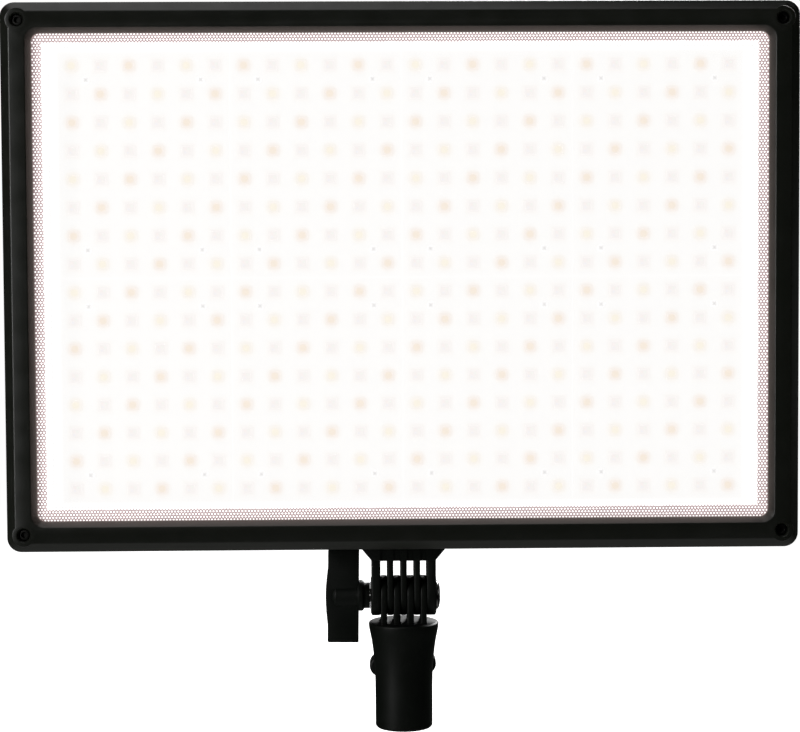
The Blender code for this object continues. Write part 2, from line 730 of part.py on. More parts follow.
def make_control_panel():
    base = CONTROL_FRONT_Y
    top = base + CONTROL_THICKNESS
    window = rectangle(WINDOW_WIDTH, WINDOW_HEIGHT, (0.0, DISPLAY_Z))
    bores = [circle(4.1, (sx * KNOB_X, CONTROL_Z), steps=16) for sx in (-1, 1)]
    slots = [rectangle(SLOT_WIDTH, SLOT_HEIGHT, (sx * BUTTON_X, BUTTON_Z)) for sx in (-1, 1)]
    outline = rounded_rectangle(CONTROL_WIDTH, CONTROL_HEIGHT, 5.0, (0.0, CONTROL_Z))
    plate = prism("control_panel", [outline], base, top, "y", "black_plastic")
    cut(plate, prism("panel_holes", [window, *bores, *slots], base - 1, top + 1, "y"))
    outer = rectangle(RIM_WIDTH - 2 * GAP, RIM_HEIGHT - 2 * GAP, (0.0, CONTROL_Z))
    inside = rectangle(RIM_WIDTH - 3.0, RIM_HEIGHT - 2.8, (0.0, CONTROL_Z))
    join(plate, prism("locating_rim", [outer, inside], base - 2.0, base + 0.5, "y"))

    glass = rectangle(WINDOW_WIDTH - 2 * GAP, WINDOW_HEIGHT - 2 * GAP, (0.0, DISPLAY_Z))
    prism("display_window", [glass], top - 1.6, top - 0.2, "y", "display_glass")
    module_low = (-29.0, base - 3.1, DISPLAY_Z - 15.0)
    module_high = (29.0, base - GAP, DISPLAY_Z + 15.0)
    box("display_module", module_low, module_high, "black_component")
    back = CONTROL_BOARD_Y + BOARD_THICKNESS
    outline = rectangle(CONTROL_BOARD_WIDTH, CONTROL_BOARD_HEIGHT, (0.0, CONTROL_Z))
    board = prism("control_board", [outline], CONTROL_BOARD_Y, back, "y", "green_board")
    tact = box("tact", (-3, back - 0.5, -3), (3, TACT_TOP_Y, 3))
    join(board, copies("tact_switches", tact, [(sx * BUTTON_X, 0.0, BUTTON_Z) for sx in (-1, 1)]))
    post = rod("post", 2.2, (0, back + GAP, 0), (0, base + 0.5, 0), steps=SMALL_STEPS)
    corners = [(sx * 51.0, 0.0, CONTROL_Z + sz * 21.0) for sx in (-1, 1) for sz in (-1, 1)]
    join(plate, copies("panel_posts", post, corners))
    face = back + GAP
    for name, side in (("mode_button", -1), ("effect_button", 1)):
        make_button(name, side * BUTTON_X, base)
    for name, side in (("dimmer", -1), ("colour", 1)):
        make_encoder(name, side * KNOB_X, face)


def make_button(name, x, panel_back):
    """A key cap held under the panel by its flange, over a tact switch."""
    flange_top = panel_back - GAP
    width, height = SLOT_WIDTH - 2 * GAP, SLOT_HEIGHT - 2 * GAP
    cap_outline = rounded_rectangle(width, height, 1.0, (x, BUTTON_Z), steps=3)
    cap = prism(name, [cap_outline], flange_top - 0.5, panel_back + 3.9, "y", "soft_knob")
    flange = rectangle(SLOT_WIDTH + 2.0, SLOT_HEIGHT + 2.0, (x, BUTTON_Z))
    join(cap, prism(name + "_flange", [flange], flange_top - 1.5, flange_top, "y"))
    move_origin(cap, (x, panel_back, BUTTON_Z))


def make_encoder(name, x, face):
    """A rotary encoder on the control board, its shaft, and the knob on the shaft."""
    low = (x - ENCODER_HALF, face, CONTROL_Z - ENCODER_HALF)
    high = (x + ENCODER_HALF, face + 6.5, CONTROL_Z + ENCODER_HALF)
    body = box(name + "_encoder", low, high, "steel")
    bushing_end = face + 12.9
    bushing_tip = (x, bushing_end, CONTROL_Z)
    join(body, rod(name + "_bushing", 3.6, (x, face + 5, CONTROL_Z), bushing_tip, steps=16))
    bore_end = (x, bushing_end + 1, CONTROL_Z)
    cut(body, rod(name + "_bore", SHAFT_RADIUS + GAP, (x, face + 1.0, CONTROL_Z), bore_end, steps=16))
    shaft_start = (x, face + 1.4, CONTROL_Z)
    shaft_tip = (x, SHAFT_TIP_Y, CONTROL_Z)
    shaft = rod(name + "_shaft", SHAFT_RADIUS, shaft_start, shaft_tip, "steel", steps=16)
    move_origin(shaft, bushing_tip)

    seat = bushing_end + 0.4
    profile = [(0, 11.0), (8.3, 11.0), (9.3, 10.2), (9.6, 2.2), (10.2, 1.6), (10.2, 0)]
    bore, depth = SHAFT_RADIUS + GAP, SHAFT_TIP_Y + GAP - seat
    profile += [(bore, 0), (bore, depth), (0, depth)]
    turned(name + "_knob", profile, (x, seat, CONTROL_Z), (0, 1, 0), "soft_knob")


def make_power_inputs():
    base = REAR_Y + GAP
    profile = [(1.05, base + 0.2), (1.05, base - 8.5), (3.2, base - 8.5), (3.2, base + 1.3)]
    profile = [(0, base + 0.2), *profile, (6.5, base + 1.3), (6.5, base), (SOCKET_BODY, base)]
    profile += [(SOCKET_BODY, INNER_Y), (0, INNER_Y)]
    turned("dc_socket", profile, (SOCKET_X, 0, SOCKET_Z), (0, 1, 0), "black_component", steps=16)

    x, z = SWITCH_X, SOCKET_Z
    flange = rectangle(SWITCH_WIDTH, SWITCH_HEIGHT, (x, z))
    frame = prism("power_switch_frame", [flange], base, base + 1.4, "y", "black_component")
    body = rectangle(SWITCH_BODY_WIDTH, SWITCH_BODY_HEIGHT, (x, z))
    join(frame, prism("switch_body", [body], INNER_Y, base + 0.5, "y"))
    cut(frame, prism("switch_pocket", [rectangle(9.8, 16.2, (x, z))], 5.5, base + 4, "y"))
    lean = math.radians(SWITCH_LEAN)
    shape = [(15.4, -6.8), (14.2, 0.0), (15.4, 6.8), (10.5, 6.8), (7.6, 0.0), (10.5, -6.8)]
    outline = []
    for y, dz in shape:
        dy = y - SWITCH_PIVOT_Y
        turned_y = SWITCH_PIVOT_Y + dy * math.cos(lean) - dz * math.sin(lean)
        outline.append((turned_y, z + dy * math.sin(lean) + dz * math.cos(lean)))
    rocker = prism("power_rocker", [outline], x - 4.5, x + 4.5, "x", "soft_knob")
    pivot = (SWITCH_PIVOT_Y, z)
    join(rocker, rod("switch_pins", 1.0, (x - 6.0, *pivot), (x + 6.0, *pivot), steps=SMALL_STEPS))
    cut(frame, rod("switch_pin_holes", 1.4, (x - 6.4, *pivot), (x + 6.4, *pivot), steps=SMALL_STEPS))
    move_origin(rocker, (x, SWITCH_PIVOT_Y, z))


# Battery plates


def contact_places(x):
    return [x + step * CONTACT_SPACING for step in (-1, 0, 1)]


def make_battery_plate(side_name, side):
    x = side * BATTERY_X
    base = REAR_Y + GAP
    top = base + BATTERY_BASE
    outline = rounded_rectangle(BATTERY_WIDTH, BATTERY_HEIGHT, 4.0, (x, BATTERY_Z), steps=3)
    latch_hole = rectangle(LATCH_WIDTH + 2 * GAP, LATCH_HEIGHT + 2 * GAP, (x, LATCH_Z))
    contact_slots = [rectangle(1.4, 5.0, (contact, CONTACT_Z)) for contact in contact_places(x)]
    name = "battery_plate_" + side_name
    holes = [latch_hole, *contact_slots]
    plate = prism(name, [outline, *holes], base, top, "y", "black_plastic")
    half = BATTERY_WIDTH / 2
    rail = [(0.0, top - 0.5), (3.0, top - 0.5), (3.0, RAIL_TOP_Y - 1.8), (5.6, RAIL_TOP_Y - 1.8)]
    rail += [(5.6, RAIL_TOP_Y), (0.0, RAIL_TOP_Y)]
    for edge in (-1, 1):
        bent = [(x + edge * (half - 0.4 - across), y) for across, y in rail]
        join(plate, prism(name + "_rail", [bent], BATTERY_Z - 27.0, BATTERY_Z + 35.0, "z"))
    block = rectangle(22.0, 9.0, (x, CONTACT_Z))
    join(plate, prism(name + "_block", [block, *contact_slots], top - 0.5, top + 2.5, "y"))
    seats = [(px, 0.0, pz) for px, pz in battery_screw_places(side)]
    hole = rod("hole", SCREW_HOLE, (0, base - 1, 0), (0, top + 1, 0), steps=SMALL_STEPS)
    seat = rod("seat", 3.0, (0, top - 1.3, 0), (0, top + 1, 0), steps=SCREW_STEPS)
    cut(plate, copies(name + "_holes", hole, seats), copies(name + "_seats", seat, seats))

    cap = rectangle(LATCH_WIDTH, LATCH_HEIGHT, (x, LATCH_Z))
    flange_top = base - GAP
    flange_bottom = flange_top - FLANGE_THICKNESS
    latch = prism("battery_latch_" + side_name, [cap], flange_top - 0.5, top + 2.4, "y", "soft_knob")
    flange = rectangle(LATCH_WIDTH + FLANGE, LATCH_HEIGHT + FLANGE, (x, LATCH_Z))
    join(latch, prism("latch_flange", [flange], flange_bottom, flange_top, "y"))
    move_origin(latch, (x, base, LATCH_Z))
    make_spring("latch_spring_" + side_name, x, SPREADER_BACK_Y + GAP, flange_bottom - GAP)


def make_spring(name, x, start, end):
    """A compression spring along Y, under a battery latch."""
    wire = 0.5
    radius = 3.0
    turns = 5
    steps = 8
    count = turns * steps
    points = []
    for number in range(count + 1):
        angle = 2 * math.pi * number / steps
        y = start + wire + (end - start - 2 * wire) * number / count
        points.append((x + radius * math.cos(angle), y, LATCH_Z + radius * math.sin(angle)))
    tube(name, points, wire, "steel", roundness=0)


def make_contacts(side_name, side):
    """Three blades in a carrier behind the rear wall."""
    base = REAR_Y + GAP
    x, z = side * BATTERY_X, CONTACT_Z
    inner = REAR_Y - REAR_WALL - GAP
    name = "battery_contacts_" + side_name
    carrier = box(name, (x - 9, inner - 2.5, z - 4), (x + 9, inner, z + 4), "brass")
    for contact in contact_places(x):
        low = (contact - 0.4, inner - 4.5, z - 2.2)
        high = (contact + 0.4, base + BATTERY_BASE + 3.4, z + 2.2)
        join(carrier, box("blade", low, high))


def make_batteries():
    for side_name, side in (("left", -1), ("right", 1)):
        make_battery_plate(side_name, side)
        make_contacts(side_name, side)


# Tilt head


def finger(name, x, thickness, base_z, base_half, upward, finish_name=None):
    """A flat finger from its base to a round end about the tilt axis."""
    first = 0.0 if upward else math.pi
    arc = [first + math.pi * step / 12 for step in range(13)]
    ends = [(DISC_RADIUS * math.cos(a), PIVOT_Z + DISC_RADIUS * math.sin(a)) for a in arc]
    foot = [(-base_half, base_z), (base_half, base_z)]
    outline = ends + (foot if upward else foot[::-1])
    return prism(name, [outline], x - thickness / 2, x + thickness / 2, "x", finish_name)


def make_tilt_foot():
    outline = [
        (-FOOT_HALF_WIDTH, FOOT_TOP),
        (-HEAD_HALF_WIDTH, FINGER_ROOT_Z),
        (HEAD_HALF_WIDTH, FINGER_ROOT_Z),
        (FOOT_HALF_WIDTH, FOOT_TOP),
    ]
    foot = prism("tilt_foot", [outline], -FOOT_HALF_DEPTH, FOOT_HALF_DEPTH, "y", "black_nylon")
    base_z = FINGER_ROOT_Z + 2.0
    for x in UPPER_FINGER_X:
        join(foot, finger("upper_finger", x, UPPER_FINGER, base_z, FINGER_BASE, False))
    outer = HEAD_HALF_WIDTH - OUTER_FINGER_IN
    middle = (HEAD_HALF_WIDTH - 0.05 + OUTER_FINGER_IN) / 2
    for side in (-1, 1):
        join(foot, finger("outer_finger", side * middle, outer - 0.05, base_z, FINGER_BASE, False))
        pad_start = (side * (HEAD_HALF_WIDTH - 1), 0, PIVOT_Z)
        pad_end = (side * (HEAD_HALF_WIDTH + 0.4), 0, PIVOT_Z)
        join(foot, rod("pad", 8.3, pad_start, pad_end))
    reach = HEAD_HALF_WIDTH + 3
    bolt_hole = rod("bolt_hole", BOLT_HOLE, (-reach, 0, PIVOT_Z), (reach, 0, PIVOT_Z), steps=18)
    cut(foot, bolt_hole, foot_screw_holes(FOOT_TOP - FOOT_SCREW_DEPTH, FOOT_TOP + 1))

    plate_z = HOUSING_BOTTOM + SIDE_WALL + GAP
    plate = rounded_rectangle(50.0, 15.5, 2.0, (0.0, 0.25), steps=2)
    plate_holes = [circle(FOOT_SCREW_HOLE, place) for place in FOOT_SCREWS]
    plate_top = plate_z + FOOT_PLATE_THICKNESS
    prism("foot_plate", [plate, *plate_holes], plate_z, plate_top, "z", "steel")
    under_head = plate_top + GAP
    length = under_head - (FOOT_TOP - FOOT_SCREW_DEPTH) - GAP
    for number, (x, y) in enumerate(FOOT_SCREWS):
        top = (x, y, under_head + FOOT_SCREW_HEAD[1])
        cap_screw(f"foot_screw_{number + 1}", top, (0, 0, -1), FOOT_SCREW_HEAD, (2.0, length))


def make_clamp():
    """The bolt through the fingers, and the tee knob that tightens on it."""
    pivot = (0, 0, PIVOT_Z)
    head = HEAD_HALF_WIDTH + 0.4 + GAP
    profile = [(0, head + 2.3), (3.0, head + 2.1), (5.2, head + 1.6), (6.7, head + 0.6), (6.7, head)]
    profile += [(BOLT_RADIUS, head), (BOLT_RADIUS, -30.4), (0, -30.4)]
    turned("clamp_bolt", profile, pivot, (1, 0, 0), "steel")

    washer = head  # the washer lies as far out as the bolt's head, on the other side
    outside = washer + WASHER_THICKNESS
    ring = [(6.2, outside), (6.2, washer), (BOLT_HOLE, washer), (BOLT_HOLE, outside)]
    turned("clamp_washer", ring, pivot, (-1, 0, 0), "steel", hollow=True)

    hub_start = outside + GAP
    hub = [(0, 33.4), (4.6, 33.4), (5.8, 32.6), (5.8, 21.4), (7.15, 20.9), (7.15, 19.0), (5.95, 18.2)]
    hub += [(5.95, hub_start), (0, hub_start)]
    knob = turned("tilt_knob", hub, pivot, (-1, 0, 0), "black_nylon")
    join(knob, prism("tee_bar", [tee_outline()], -TEE_HALF_DEPTH, TEE_HALF_DEPTH, "y"))
    bore_radius = INSERT_RADIUS + GAP
    bore_ends = ((-hub_start + 2, 0, PIVOT_Z), (-31.0, 0, PIVOT_Z))
    cut(knob, rod("knob_bore", bore_radius, *bore_ends, steps=16))
    start, tip = hub_start + GAP, 30.7
    insert = [(INSERT_RADIUS, tip), (INSERT_RADIUS, start), (BOLT_HOLE, start), (BOLT_HOLE, tip)]
    turned("tilt_knob_insert", insert, pivot, (-1, 0, 0), "brass", steps=16, hollow=True)


def tee_outline():
    """The tee bar in (X, Z): flat towards the head, bulging on the outer side."""
    top, bottom = PIVOT_Z + TEE_HALF, PIVOT_Z - TEE_HALF
    corner = 1.0
    points = [(TEE_INNER_X, bottom), (TEE_INNER_X, top)]
    points += [(TEE_OUTER_X + corner, top), (TEE_OUTER_X, top - corner)]
    for step in range(9):
        t = 1 - step / 4
        bulge = TEE_BULGE * math.cos(t * math.pi / 2)
        points.append((TEE_OUTER_X - bulge, PIVOT_Z + t * TEE_BULGE_HALF))
    return [*points, (TEE_OUTER_X, bottom + corner), (TEE_OUTER_X + corner, bottom)]


# Stand receiver


def make_receiver():
    profile = [(0, RIM_Z), (15.5, RIM_Z), (16.2, RIM_Z - 0.8), (16.0, RIM_Z - 2.8)]
    profile += [(14.8, RIM_Z - 8.5), (14.0, RIM_Z - 15.0), (13.45, RIM_Z - 22.0), (13.2, RIM_Z - 29.0)]
    profile += [(13.15, 0.9), (12.4, 0), (9.2, 0), (SOCKET_RADIUS, 1.0)]
    profile += [(SOCKET_RADIUS, SOCKET_DEPTH), (0, SOCKET_DEPTH + 0.6)]
    body = turned("stand_receiver", profile, (0, 0, 0), (0, 0, 1), "black_nylon", steps=32)
    for x, thickness in LOWER_FINGERS:
        join(body, finger("lower_finger", x, thickness, RIM_Z - 2.0, FINGER_BASE + 0.2, True))
    join(body, rod("lock_boss", 6.5, (0, 9.6, LOCK_Z), (0, 17.0, LOCK_Z), steps=20))
    reach = HEAD_HALF_WIDTH + 3
    cut(
        body,
        rod("pivot_hole", BOLT_HOLE, (-reach, 0, PIVOT_Z), (reach, 0, PIVOT_Z), steps=18),
        rod("lock_hole", LOCK_HOLE, (0, 5.0, LOCK_Z), (0, 19.0, LOCK_Z), steps=16),
    )


def make_lock():
    """The wing knob, screw and swivel pad that clamp the stand's spigot."""
    axis = (0, 0, LOCK_Z)
    thread = LOCK_RADIUS + GAP
    insert = LOCK_HOLE - GAP
    ring = [(insert, 16.8), (insert, 9.0), (thread, 9.0), (thread, 16.8)]
    turned("lock_insert", ring, axis, (0, 1, 0), "brass", steps=16, hollow=True)
    pad = rod("lock_pad", LOCK_RADIUS, (0, 8.7, LOCK_Z), (0, 10.1, LOCK_Z), "brass", steps=16)
    screw = rod("lock_screw", LOCK_RADIUS, (0, 10.4, LOCK_Z), (0, 30.2, LOCK_Z), "steel", steps=16)
    move_origin(pad, axis)
    move_origin(screw, axis)

    hub = [(0, 24.0), (6.0, 24.0), (6.3, 22.0), (6.3, 19.2), (5.8, 18.6), (0, 18.6)]
    knob = turned("lock_knob", hub, axis, (0, 1, 0), "black_nylon")
    outline = []
    for side in (1, -1):
        for step in range(9):
            angle = math.pi * (step / 8 - 0.5)
            reach = WING_HALF - WING_END + WING_END * math.cos(angle)
            outline.append((side * reach, side * WING_END * math.sin(angle)))
    lean = math.radians(-LOCK_ANGLE)
    leaning = [
        (u * math.cos(lean) + v * math.sin(lean), LOCK_Z + v * math.cos(lean) - u * math.sin(lean))
        for u, v in outline
    ]
    join(knob, prism("wings", [leaning], 22.5, 33.0, "y"))
    cut(knob, rod("lock_bore", LOCK_RADIUS + GAP, (0, 15.0, LOCK_Z), (0, 30.6, LOCK_Z), steps=16))


def hang_on_tilt_axis():
    """Parents all that tilts to an empty on the tilt axis, and leaves it where it is."""
    axis = bpy.data.objects.new("tilt_axis", None)
    axis.location = (0.0, 0.0, PIVOT_Z * MM)
    for obj in COLLECTION.objects:
        if obj.name not in STAND_SIDE:
            obj.parent = axis
            obj.matrix_parent_inverse = Matrix.Translation(-axis.location)
    COLLECTION.objects.link(axis)


def main():
    clear_scene()
    make_front()
    make_array()
    make_housing()
    make_driver()
    make_leads()
    make_control_panel()
    make_power_inputs()
    make_batteries()
    make_tilt_foot()
    make_clamp()
    make_receiver()
    make_lock()
    hang_on_tilt_axis()


main()
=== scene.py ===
from math import cos, pi, radians, sin, sqrt

import bmesh
import bpy
from mathutils import Matrix, Vector


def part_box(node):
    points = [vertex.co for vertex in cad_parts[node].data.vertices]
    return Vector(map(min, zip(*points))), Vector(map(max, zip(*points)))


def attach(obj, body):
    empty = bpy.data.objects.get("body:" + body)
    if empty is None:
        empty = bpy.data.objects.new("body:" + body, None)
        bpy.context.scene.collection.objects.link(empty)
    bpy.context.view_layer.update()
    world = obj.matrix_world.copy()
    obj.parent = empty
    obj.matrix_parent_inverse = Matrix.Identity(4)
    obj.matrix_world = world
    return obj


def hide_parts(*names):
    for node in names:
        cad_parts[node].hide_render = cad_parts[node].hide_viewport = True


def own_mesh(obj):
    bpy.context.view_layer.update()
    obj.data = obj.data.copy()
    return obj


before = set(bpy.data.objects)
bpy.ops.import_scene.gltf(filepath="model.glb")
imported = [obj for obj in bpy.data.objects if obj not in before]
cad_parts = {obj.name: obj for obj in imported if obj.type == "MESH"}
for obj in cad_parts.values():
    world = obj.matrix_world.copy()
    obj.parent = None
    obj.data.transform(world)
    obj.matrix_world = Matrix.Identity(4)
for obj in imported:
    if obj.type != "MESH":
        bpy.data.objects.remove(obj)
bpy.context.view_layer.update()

# The looks of an LED panel light on a tilting stand head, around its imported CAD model.
# Sizes are in millimetres and become metres as each mesh is made. Y runs from the lit face to the rear.

MM = 0.001


def span(node):
    """A CAD node's lowest corner, highest corner and centre, in millimetres."""
    low, high = (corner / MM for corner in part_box(node))
    return low, high, (low + high) / 2


# Driving dimensions, from the frame
BEZEL_LOW, BEZEL_HIGH, BEZEL = span("front_bezel")
WIDTH = BEZEL_HIGH.x - BEZEL_LOW.x
HEIGHT = BEZEL_HIGH.z - BEZEL_LOW.z
FRONT_Y = BEZEL_LOW.y
PARTING_Y = BEZEL_HIGH.y
HOUSING_LOW, HOUSING_HIGH, _ = span("rear_housing")
REAR_Y = HOUSING_HIGH.y
SHEET_LOW, SHEET_HIGH, _ = span("diffuser_panel")
PIVOT = span("clamp_washer")[2]
CONTROL_LOW, CONTROL_HIGH, CONTROL = span("control_panel")

# Front of the head, inwards from the panel's edge
CHAMFER = 4.4
LAND_INNER = 11.5
LIP_INNER = 14.1
SEAT_INSET = 3.6  # where the bezel and the housing meet behind their outer walls
CORNER_SCREW = 8.2
OUTER_CORNER = 6.5  # radius
GAP = 0.3  # between a piece and what it lies on

# LED array
COLUMNS = 24
ROWS = 16
PITCH_X = 13.0
PITCH_Z = 12.85
BOARD_FRONT = span("led_board_1")[0].y

# Microlens band, seen as bright dots in a darker lattice round the edge of the sheet. The lattice's
# darkness is painted shade in its glow.
CELL_ACROSS = 1.45
CELL_UP = 1.25
BAND_WIDTH = 6.2
# Over this stretch the lattice's painted shade fades to white glow.
LATTICE_FADE = (17.7, 18.9)  # where the lattice turns white, inwards from the panel's edge

SMOOTH_ANGLE = 32  # degrees, past which an edge is sharp
CORNER_STEPS = 12
SOFT_STEPS = 4
LED_STEPS = 8
ROUND = 64  # steps round a turned piece


# Camera, floor and light

CAMERA_PLACE = (-16.46, -900.83, 211.45)
CAMERA_PITCH = -2.752
CAMERA_YAW = -0.980
CAMERA_ROLL = -0.305
CAMERA_LENS = 87.75
FLOOR_Z = -0.22  # metres
STAGE_REACH = 6.0


def new_object(name, data):
    obj = bpy.data.objects.new(name, data)
    bpy.context.scene.collection.objects.link(obj)
    return obj


def mesh_object(name, bm):
    """An object in the scene from that mesh, which is used up."""
    mesh = bpy.data.meshes.new(name)
    bm.to_mesh(mesh)
    bm.free()
    return new_object(name, mesh)


def make_camera():
    data = bpy.data.cameras.new("camera")
    data.lens = CAMERA_LENS
    data.sensor_width = 36.0
    camera = new_object("camera", data)
    turn = Matrix.Rotation(radians(CAMERA_YAW), 4, "Z")
    tilt = Matrix.Rotation(radians(90 + CAMERA_PITCH), 4, "X")
    roll = Matrix.Rotation(radians(CAMERA_ROLL), 4, "Z")
    camera.matrix_world = Matrix.Translation(Vector(CAMERA_PLACE) * MM) @ turn @ tilt @ roll
    bpy.context.scene.camera = camera


def aim(obj, place, target):
    """Puts the object there, in metres, with its -Z towards the target."""
    obj.location = place
    obj.rotation_euler = (Vector(target) - Vector(place)).to_track_quat("-Z", "Y").to_euler()


def soft_light(name, place, size, power, colour=(1, 1, 1), target=(0, 0, 0.2)):
    data = bpy.data.lights.new(name, "AREA")
    data.shape = "RECTANGLE"
    data.size, data.size_y = size
    data.energy = power
    data.color = colour
    light = new_object(name, data)
    light.visible_camera = False
    aim(light, place, target)
    return light


def make_world():
    """Dim in front of the lit face, brighter above and behind, and brightest straight below."""
    world = bpy.data.worlds.new("studio")
    bpy.context.scene.world = world
    world.use_nodes = True
    nodes, links = world.node_tree.nodes, world.node_tree.links
    direction = nodes.new("ShaderNodeTexCoord")
    parts = nodes.new("ShaderNodeSeparateXYZ")
    links.new(direction.outputs["Generated"], parts.inputs[0])
    # Each is an axis, the stretch of it over which the light rises, and its level at both ends
    glows = (("Y", 0.15, 1.0, 0.02, 0.6), ("Z", 0.35, 0.95, 0.0, 0.40), ("Z", -0.35, -0.95, 0.0, 6.0))
    levels = []
    for axis, *stretch_and_levels in glows:
        glow = nodes.new("ShaderNodeMapRange")
        glow.interpolation_type = "SMOOTHSTEP"
        for end, value in zip(("From Min", "From Max", "To Min", "To Max"), stretch_and_levels):
            glow.inputs[end].default_value = value
        links.new(parts.outputs[axis], glow.inputs["Value"])
        levels.append(glow.outputs[0])
    total = levels[0]
    for level in levels[1:]:
        sum_node = nodes.new("ShaderNodeMath")
        links.new(total, sum_node.inputs[0])
        links.new(level, sum_node.inputs[1])
        total = sum_node.outputs[0]
    links.new(total, nodes["Background"].inputs["Strength"])


def make_stage():
    """A pale floor under the light, and a white backdrop that only the camera sees."""
    bm = bmesh.new()
    bmesh.ops.create_grid(bm, x_segments=1, y_segments=1, size=STAGE_REACH)
    floor = mesh_object("floor", bm)
    floor.location.z = FLOOR_Z
    floor.data.materials.append(flat_white("pale_floor", 0.5, 0.97))
    floor.visible_glossy = False
    bm = bmesh.new()
    bmesh.ops.create_uvsphere(bm, u_segments=48, v_segments=24, radius=STAGE_REACH + 0.5)
    backdrop = mesh_object("backdrop", bm)
    backdrop.data.materials.append(flat_white("white_backdrop", 0.0, 1.0))
    for ray in ("diffuse", "glossy", "transmission", "shadow"):
        setattr(backdrop, "visible_" + ray, False)
    soft_light("overhead_softbox", (-0.25, -0.15, 1.5), (1.5, 1.1), 8.0)
    soft_light("left_front_strip", (-1.15, -1.0, 0.45), (0.20, 1.1), 19.0)
    soft_light("right_rear_glint", (1.1, 0.55, 0.13), (0.08, 0.20), 0.15, target=(0, 0, 0.06))
    soft_light("rear_softbox", (0.7, 1.5, 1.0), (1.2, 1.0), 60.0)


# Materials. Each is built from nodes, with its own grain, colour drift and sheen.

MATERIALS = {}


class Nodes:
    """Short names for building a material's node tree."""

    def __init__(self, name):
        self.material = bpy.data.materials.new(name)
        self.material.use_nodes = True
        self.tree = self.material.node_tree
        self.shader = self.tree.nodes["Principled BSDF"]
        self.output = self.tree.nodes["Material Output"]
        MATERIALS[name] = self.material

    def put(self, socket, value):
        """Links an output to the socket, or gives the socket a value."""
        if isinstance(value, bpy.types.NodeSocket):
            self.tree.links.new(value, socket)
        else:
            socket.default_value = value

    def add(self, kind, inputs, **settings):
        node = self.tree.nodes.new("ShaderNode" + kind)
        for key, value in settings.items():
            setattr(node, key, value)
        for key, value in inputs.items():
            self.put(node.inputs[key], value)
        return node

    def set(self, **values):
        """The shader's inputs, each linked or given a value."""
        for key, value in values.items():
            self.put(self.shader.inputs[key.replace("_", " ")], value)

    def lit(self, base, glow, strength, roughness, specular):
        self.set(Base_Color=base, Roughness=roughness, Specular_IOR_Level=specular)
        self.set(Emission_Color=glow, Emission_Strength=strength)

    def place(self, scale=1.0, stretch=(1, 1, 1)):
        """Object coordinates in millimetres, times that scale."""
        place = self.add("TexCoord", {}).outputs["Object"]
        return self.add("Mapping", {"Vector": place, "Scale": [s * scale / MM for s in stretch]}).outputs[0]

    def noise(self, size, detail=2.0, stretch=(1, 1, 1)):
        """Noise whose features are about that many millimetres wide."""
        inputs = {"Vector": self.place(1 / size, stretch), "Scale": 1.0, "Detail": detail}
        return self.add("TexNoise", inputs).outputs["Fac"]

    def cells(self, size):
        """Rounded grains about that many millimetres wide."""
        inputs = {"Vector": self.place(1 / size), "Scale": 1.0}
        return self.add("TexVoronoi", inputs, feature="SMOOTH_F1").outputs["Distance"]

    def ramp(self, value, low, high, start=0.0, end=1.0, curve="LINEAR"):
        """From low at start to high at end."""
        inputs = {"Value": value, "From Min": start, "From Max": end, "To Min": low, "To Max": high}
        return self.add("MapRange", inputs, interpolation_type=curve).outputs[0]

    def smooth(self, value, start, end):
        """0 at start, 1 at end, with a soft step between."""
        return self.ramp(value, 0.0, 1.0, start, end, "SMOOTHSTEP")

    def mix(self, factor, first, second):
        """Two colours, or colour outputs, mixed."""
        inputs = {"Factor": factor}
        for key, value in ((6, first), (7, second)):
            inputs[key] = (*value, 1.0) if isinstance(value, tuple) else value
        return self.add("Mix", inputs, data_type="RGBA").outputs[2]

    def math(self, operation, *values):
        return self.add("Math", dict(enumerate(values)), operation=operation).outputs[0]

    def plus(self, first, second):
        return self.math("ADD", first, second)

    def minus(self, first, second):
        return self.math("SUBTRACT", first, second)

    def times(self, first, second):
        return self.math("MULTIPLY", first, second)

    def least(self, first, second):
        return self.math("MINIMUM", first, second)

    def bump(self, height, depth):
        """Relief of that depth, in millimetres."""
        self.set(Normal=self.add("Bump", {"Height": height, "Distance": depth * MM}).outputs[0])


def tint(colour, factor):
    return tuple(channel * factor for channel in colour)


def flat_white(name, albedo, glow):
    """White for the stage, with a faint unevenness."""
    m = Nodes(name)
    white = (albedo, albedo, albedo)
    m.lit(m.mix(m.noise(900.0), white, tint(white, 0.985)), (1, 1, 1, 1), glow, 0.9, 0.0)
    return m.material


def moulded(name, colour, roughness, specular, grain=0.35, depth=0.012, drift=0.25):
    """Moulded plastic: a fine spark-eroded grain, slow drift in colour and gloss, and rubbed patches."""
    m = Nodes(name)
    body = m.mix(m.noise(38.0, 3.0), tint(colour, 1 - drift), tint(colour, 1 + drift))
    dust = m.times(m.smooth(m.noise(1.1, 3.0), 0.62, 0.80), 0.10)
    rubbed = m.ramp(m.noise(9.0, 4.0), roughness - 0.045, roughness + 0.045, 0.3, 0.7)
    m.set(Base_Color=m.mix(dust, body, tuple(c + 0.03 for c in colour)), Roughness=rubbed)
    m.set(Specular_IOR_Level=specular)
    m.bump(m.plus(m.cells(grain), m.times(m.noise(grain * 2.2, 3.0), 0.8)), depth)


def metal(name, colour, roughness, stretch=(1, 1, 1), size=0.5, depth=0.004, drift=0.1):
    """Metal with fine tool marks, drawn out along the directions that the stretch keeps small."""
    m = Nodes(name)
    marks = m.noise(size, 4.0, stretch)
    stained = m.mix(m.noise(6.0, 3.0), tint(colour, 1 - drift), tint(colour, 1 + drift))
    m.set(Base_Color=stained, Roughness=m.ramp(marks, roughness - 0.08, roughness + 0.1), Metallic=1.0)
    m.bump(marks, depth)


def glowing(name, colour, strength, base, roughness=0.4, mottle=0.03, size=0.8):
    """Something that glows, with a slight mottle in its glow: a lamp's own lit part, or painted light on a
    part that is no lamp.
    """
    m = Nodes(name)
    drift = m.noise(size, 3.0)
    glow = m.mix(drift, tint(colour, 1 - mottle), tint(colour, 1 + mottle))
    m.lit(m.mix(drift, tint(base, 0.94), base), glow, strength, roughness, 0.1)
    m.bump(drift, 0.01)


